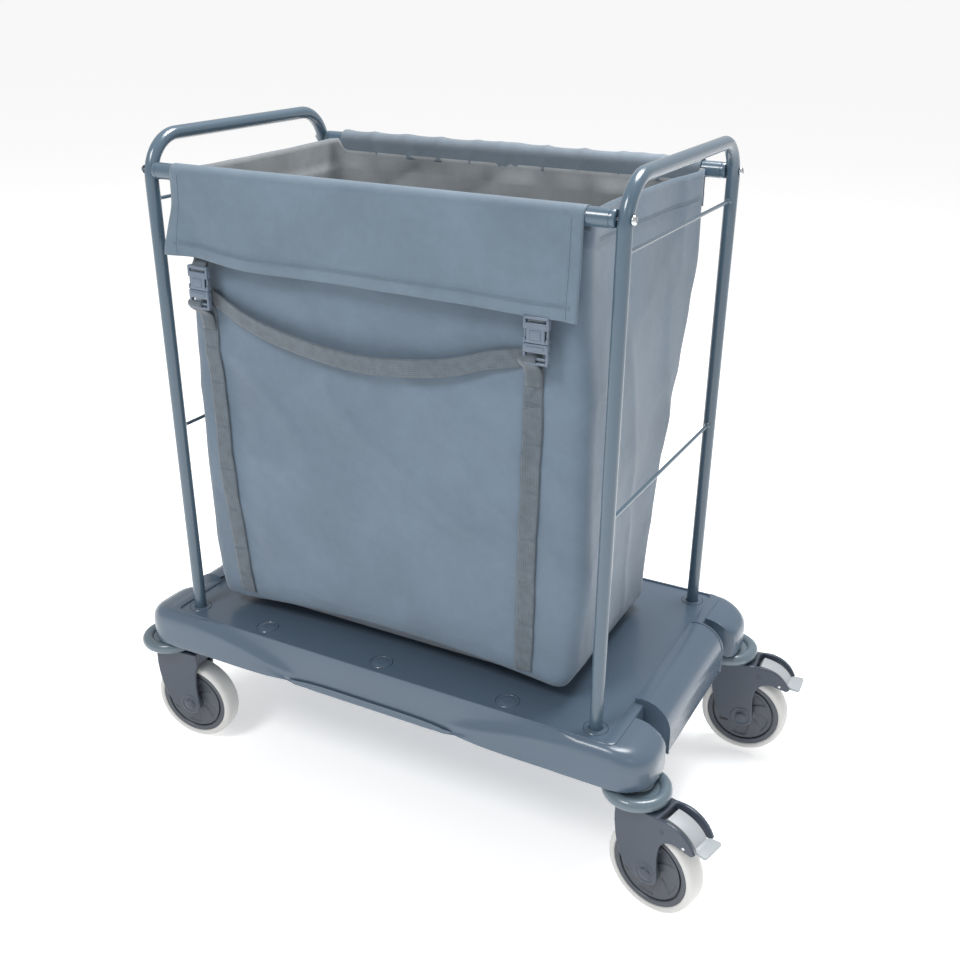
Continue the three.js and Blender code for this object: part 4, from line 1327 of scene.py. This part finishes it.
def end_hem_stitches():
    """The line of stitches below the top hem of each end panel."""
    shape = bmesh.new()
    for side in (-1, 1):
        for z in (0.9605, 0.9640):
            row = []
            for i in range(41):
                y = -0.165 + 0.33 * i / 40
                hit = struck(bag_surface, (TRAY_X + side * 0.6, y, z), (-side, 0, 0))
                if hit:
                    row.append(hit + Vector((side * 0.0003, 0, 0)))
            stitch_row(shape, row)
    return shape


stitch_thread = plastic("stitch_thread", (0.20, 0.25, 0.30), 0.7, grain=0.3)
for name, shape in (("hem_stitches", hem_stitches()), ("strap_tacks", strap_tacks()),
                    ("end_hem_stitches", end_hem_stitches())):
    finished(name, shape, stitch_thread, "trolley", smooth=0)


# ---------------------------------------------------------------- side-release buckles
# Moulded acetal buckles hold the flap down. The socket hangs under the flap; the plug's sprung
# prongs show in its side windows, and the strap is threaded round the plug's lower bar.

BUCKLE_SPOTS = {"right": (0.266, 0.0), "left": (-0.283, math.radians(2))}
BUCKLE_BACK = -0.2273


def buckle_socket():
    """The upper half, built about x = 0 with its front towards -Y."""
    shape = bmesh.new()
    y = (-0.009, 0)
    merged(shape, block((-0.018, 0.018), y, (0.8690, 0.8735), 0.0014, 3))
    for side in (-1, 1):
        xs = sorted((side * 0.0180, side * 0.0143))
        merged(shape, block(xs, y, (0.8560, 0.8725), 0.0013, 3))
        xs = sorted((side * 0.0178, side * 0.0140))
        merged(shape, block(xs, y, (0.8382, 0.8455), 0.0013, 3))
    merged(shape, block((-0.0172, 0.0172), y, (0.8560, 0.8648), 0.0014, 3))
    merged(shape, block((-0.0130, 0.0130), (-0.0092, -0.0068), (0.8384, 0.8600), 0.0010, 3))
    merged(shape, block((-0.0130, 0.0130), (-0.0022, 0.0000), (0.8384, 0.8600), 0.0008, 2))
    merged(shape, block((-0.0168, 0.0168), y, (0.8382, 0.8420), 0.0012, 3))
    merged(shape, block((-0.0075, 0.0075), (-0.0098, -0.0088), (0.8425, 0.8555), 0.0009, 3))
    return shape


def buckle_plug():
    shape = bmesh.new()
    merged(shape, block((-0.0180, 0.0180), (-0.0092, 0), (0.8255, 0.8376), 0.0018, 3))
    merged(shape, block((-0.0180, 0.0180), (-0.0085, -0.0010), (0.8095, 0.8135), 0.0016, 3))
    for side in (-1, 1):
        xs = sorted((side * 0.0180, side * 0.0143))
        merged(shape, block(xs, (-0.0085, -0.0010), (0.8095, 0.8300), 0.0014, 3))
        xs = sorted((side * 0.0172, side * 0.0140))
        merged(shape, block(xs, (-0.0068, -0.0022), (0.8365, 0.8570), 0.0012, 3))
    merged(shape, block((-0.0143, 0.0143), (-0.0070, -0.0030), (0.8160, 0.8195), 0.0012, 3))
    merged(shape, block((-0.0120, 0.0120), (-0.0100, -0.0088), (0.8290, 0.8345), 0.0007, 2))
    merged(shape, block((-0.0040, 0.0040), (-0.0062, -0.0026), (0.8365, 0.8575), 0.0008, 2))
    return shape


def hung_buckle(shape, name):
    x, swing = BUCKLE_SPOTS[name]
    bmesh.ops.rotate(
        shape, cent=(0, 0, 0.872), verts=shape.verts, matrix=Matrix.Rotation(swing, 3, "Y"),
    )
    return shifted(shape, (TRAY_X + x, BUCKLE_BACK, 0))


def threaded_web(name):
    """The short webbing that holds each buckle half: up under the flap, down to the strap."""
    shape = bmesh.new()
    x = BUCKLE_SPOTS[name][0]
    foot = on_bag(x, 0.815, 0.0016).y
    loops = (
        [(-0.2180, 0.892), (-0.2235, 0.884), (-0.2290, 0.8755), (-0.2330, 0.8715), (-0.2345, 0.8675),
         (-0.2310, 0.8650), (-0.2262, 0.8690), (-0.2225, 0.880)],
        [(foot, 0.800), (foot - 0.004, 0.812), (-0.2290, 0.8200), (-0.2330, 0.8215), (-0.2365, 0.8190),
         (-0.2372, 0.8150), (-0.2340, 0.8110), (-0.2290, 0.8060), (foot - 0.0035, 0.7960),
         (foot - 0.0025, 0.7720)],
    )
    side = 1 if x > 0 else -1
    for order, path in enumerate(loops):
        left = x - 0.0125 if order == 0 else strap_x(side, 0.80) - 0.0125
        chain = [shape.verts.new((TRAY_X + left, y, z)) for y, z in path]
        edges = [shape.edges.new(pair) for pair in zip(chain, chain[1:])]
        made = bmesh.ops.extrude_edge_only(shape, edges=edges)["geom"]
        bmesh.ops.translate(shape, vec=(0.025, 0, 0), verts=verts_in(made))
    bmesh.ops.recalc_face_normals(shape, faces=shape.faces)
    return shape


buckle_acetal = plastic("buckle_acetal", (0.130, 0.168, 0.222), 0.30, grain=0.08, coat=0.2)
for name in BUCKLE_SPOTS:
    for half, build in (("socket", buckle_socket), ("plug", buckle_plug)):
        piece = finished(f"release_{half}_{name}", hung_buckle(build(), name), buckle_acetal, "trolley")
        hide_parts(f"buckle_{half}_{name}")
    web = finished(f"buckle_webbing_{name}", threaded_web(name), strap_webbing, "trolley",
                   smooth=0)
    modify(web, "soft_bends", "SUBSURF", levels=2, render_levels=2, boundary_smooth="PRESERVE_CORNERS")
    modify(web, "web_thickness", "SOLIDIFY", thickness=0.0014, offset=0)
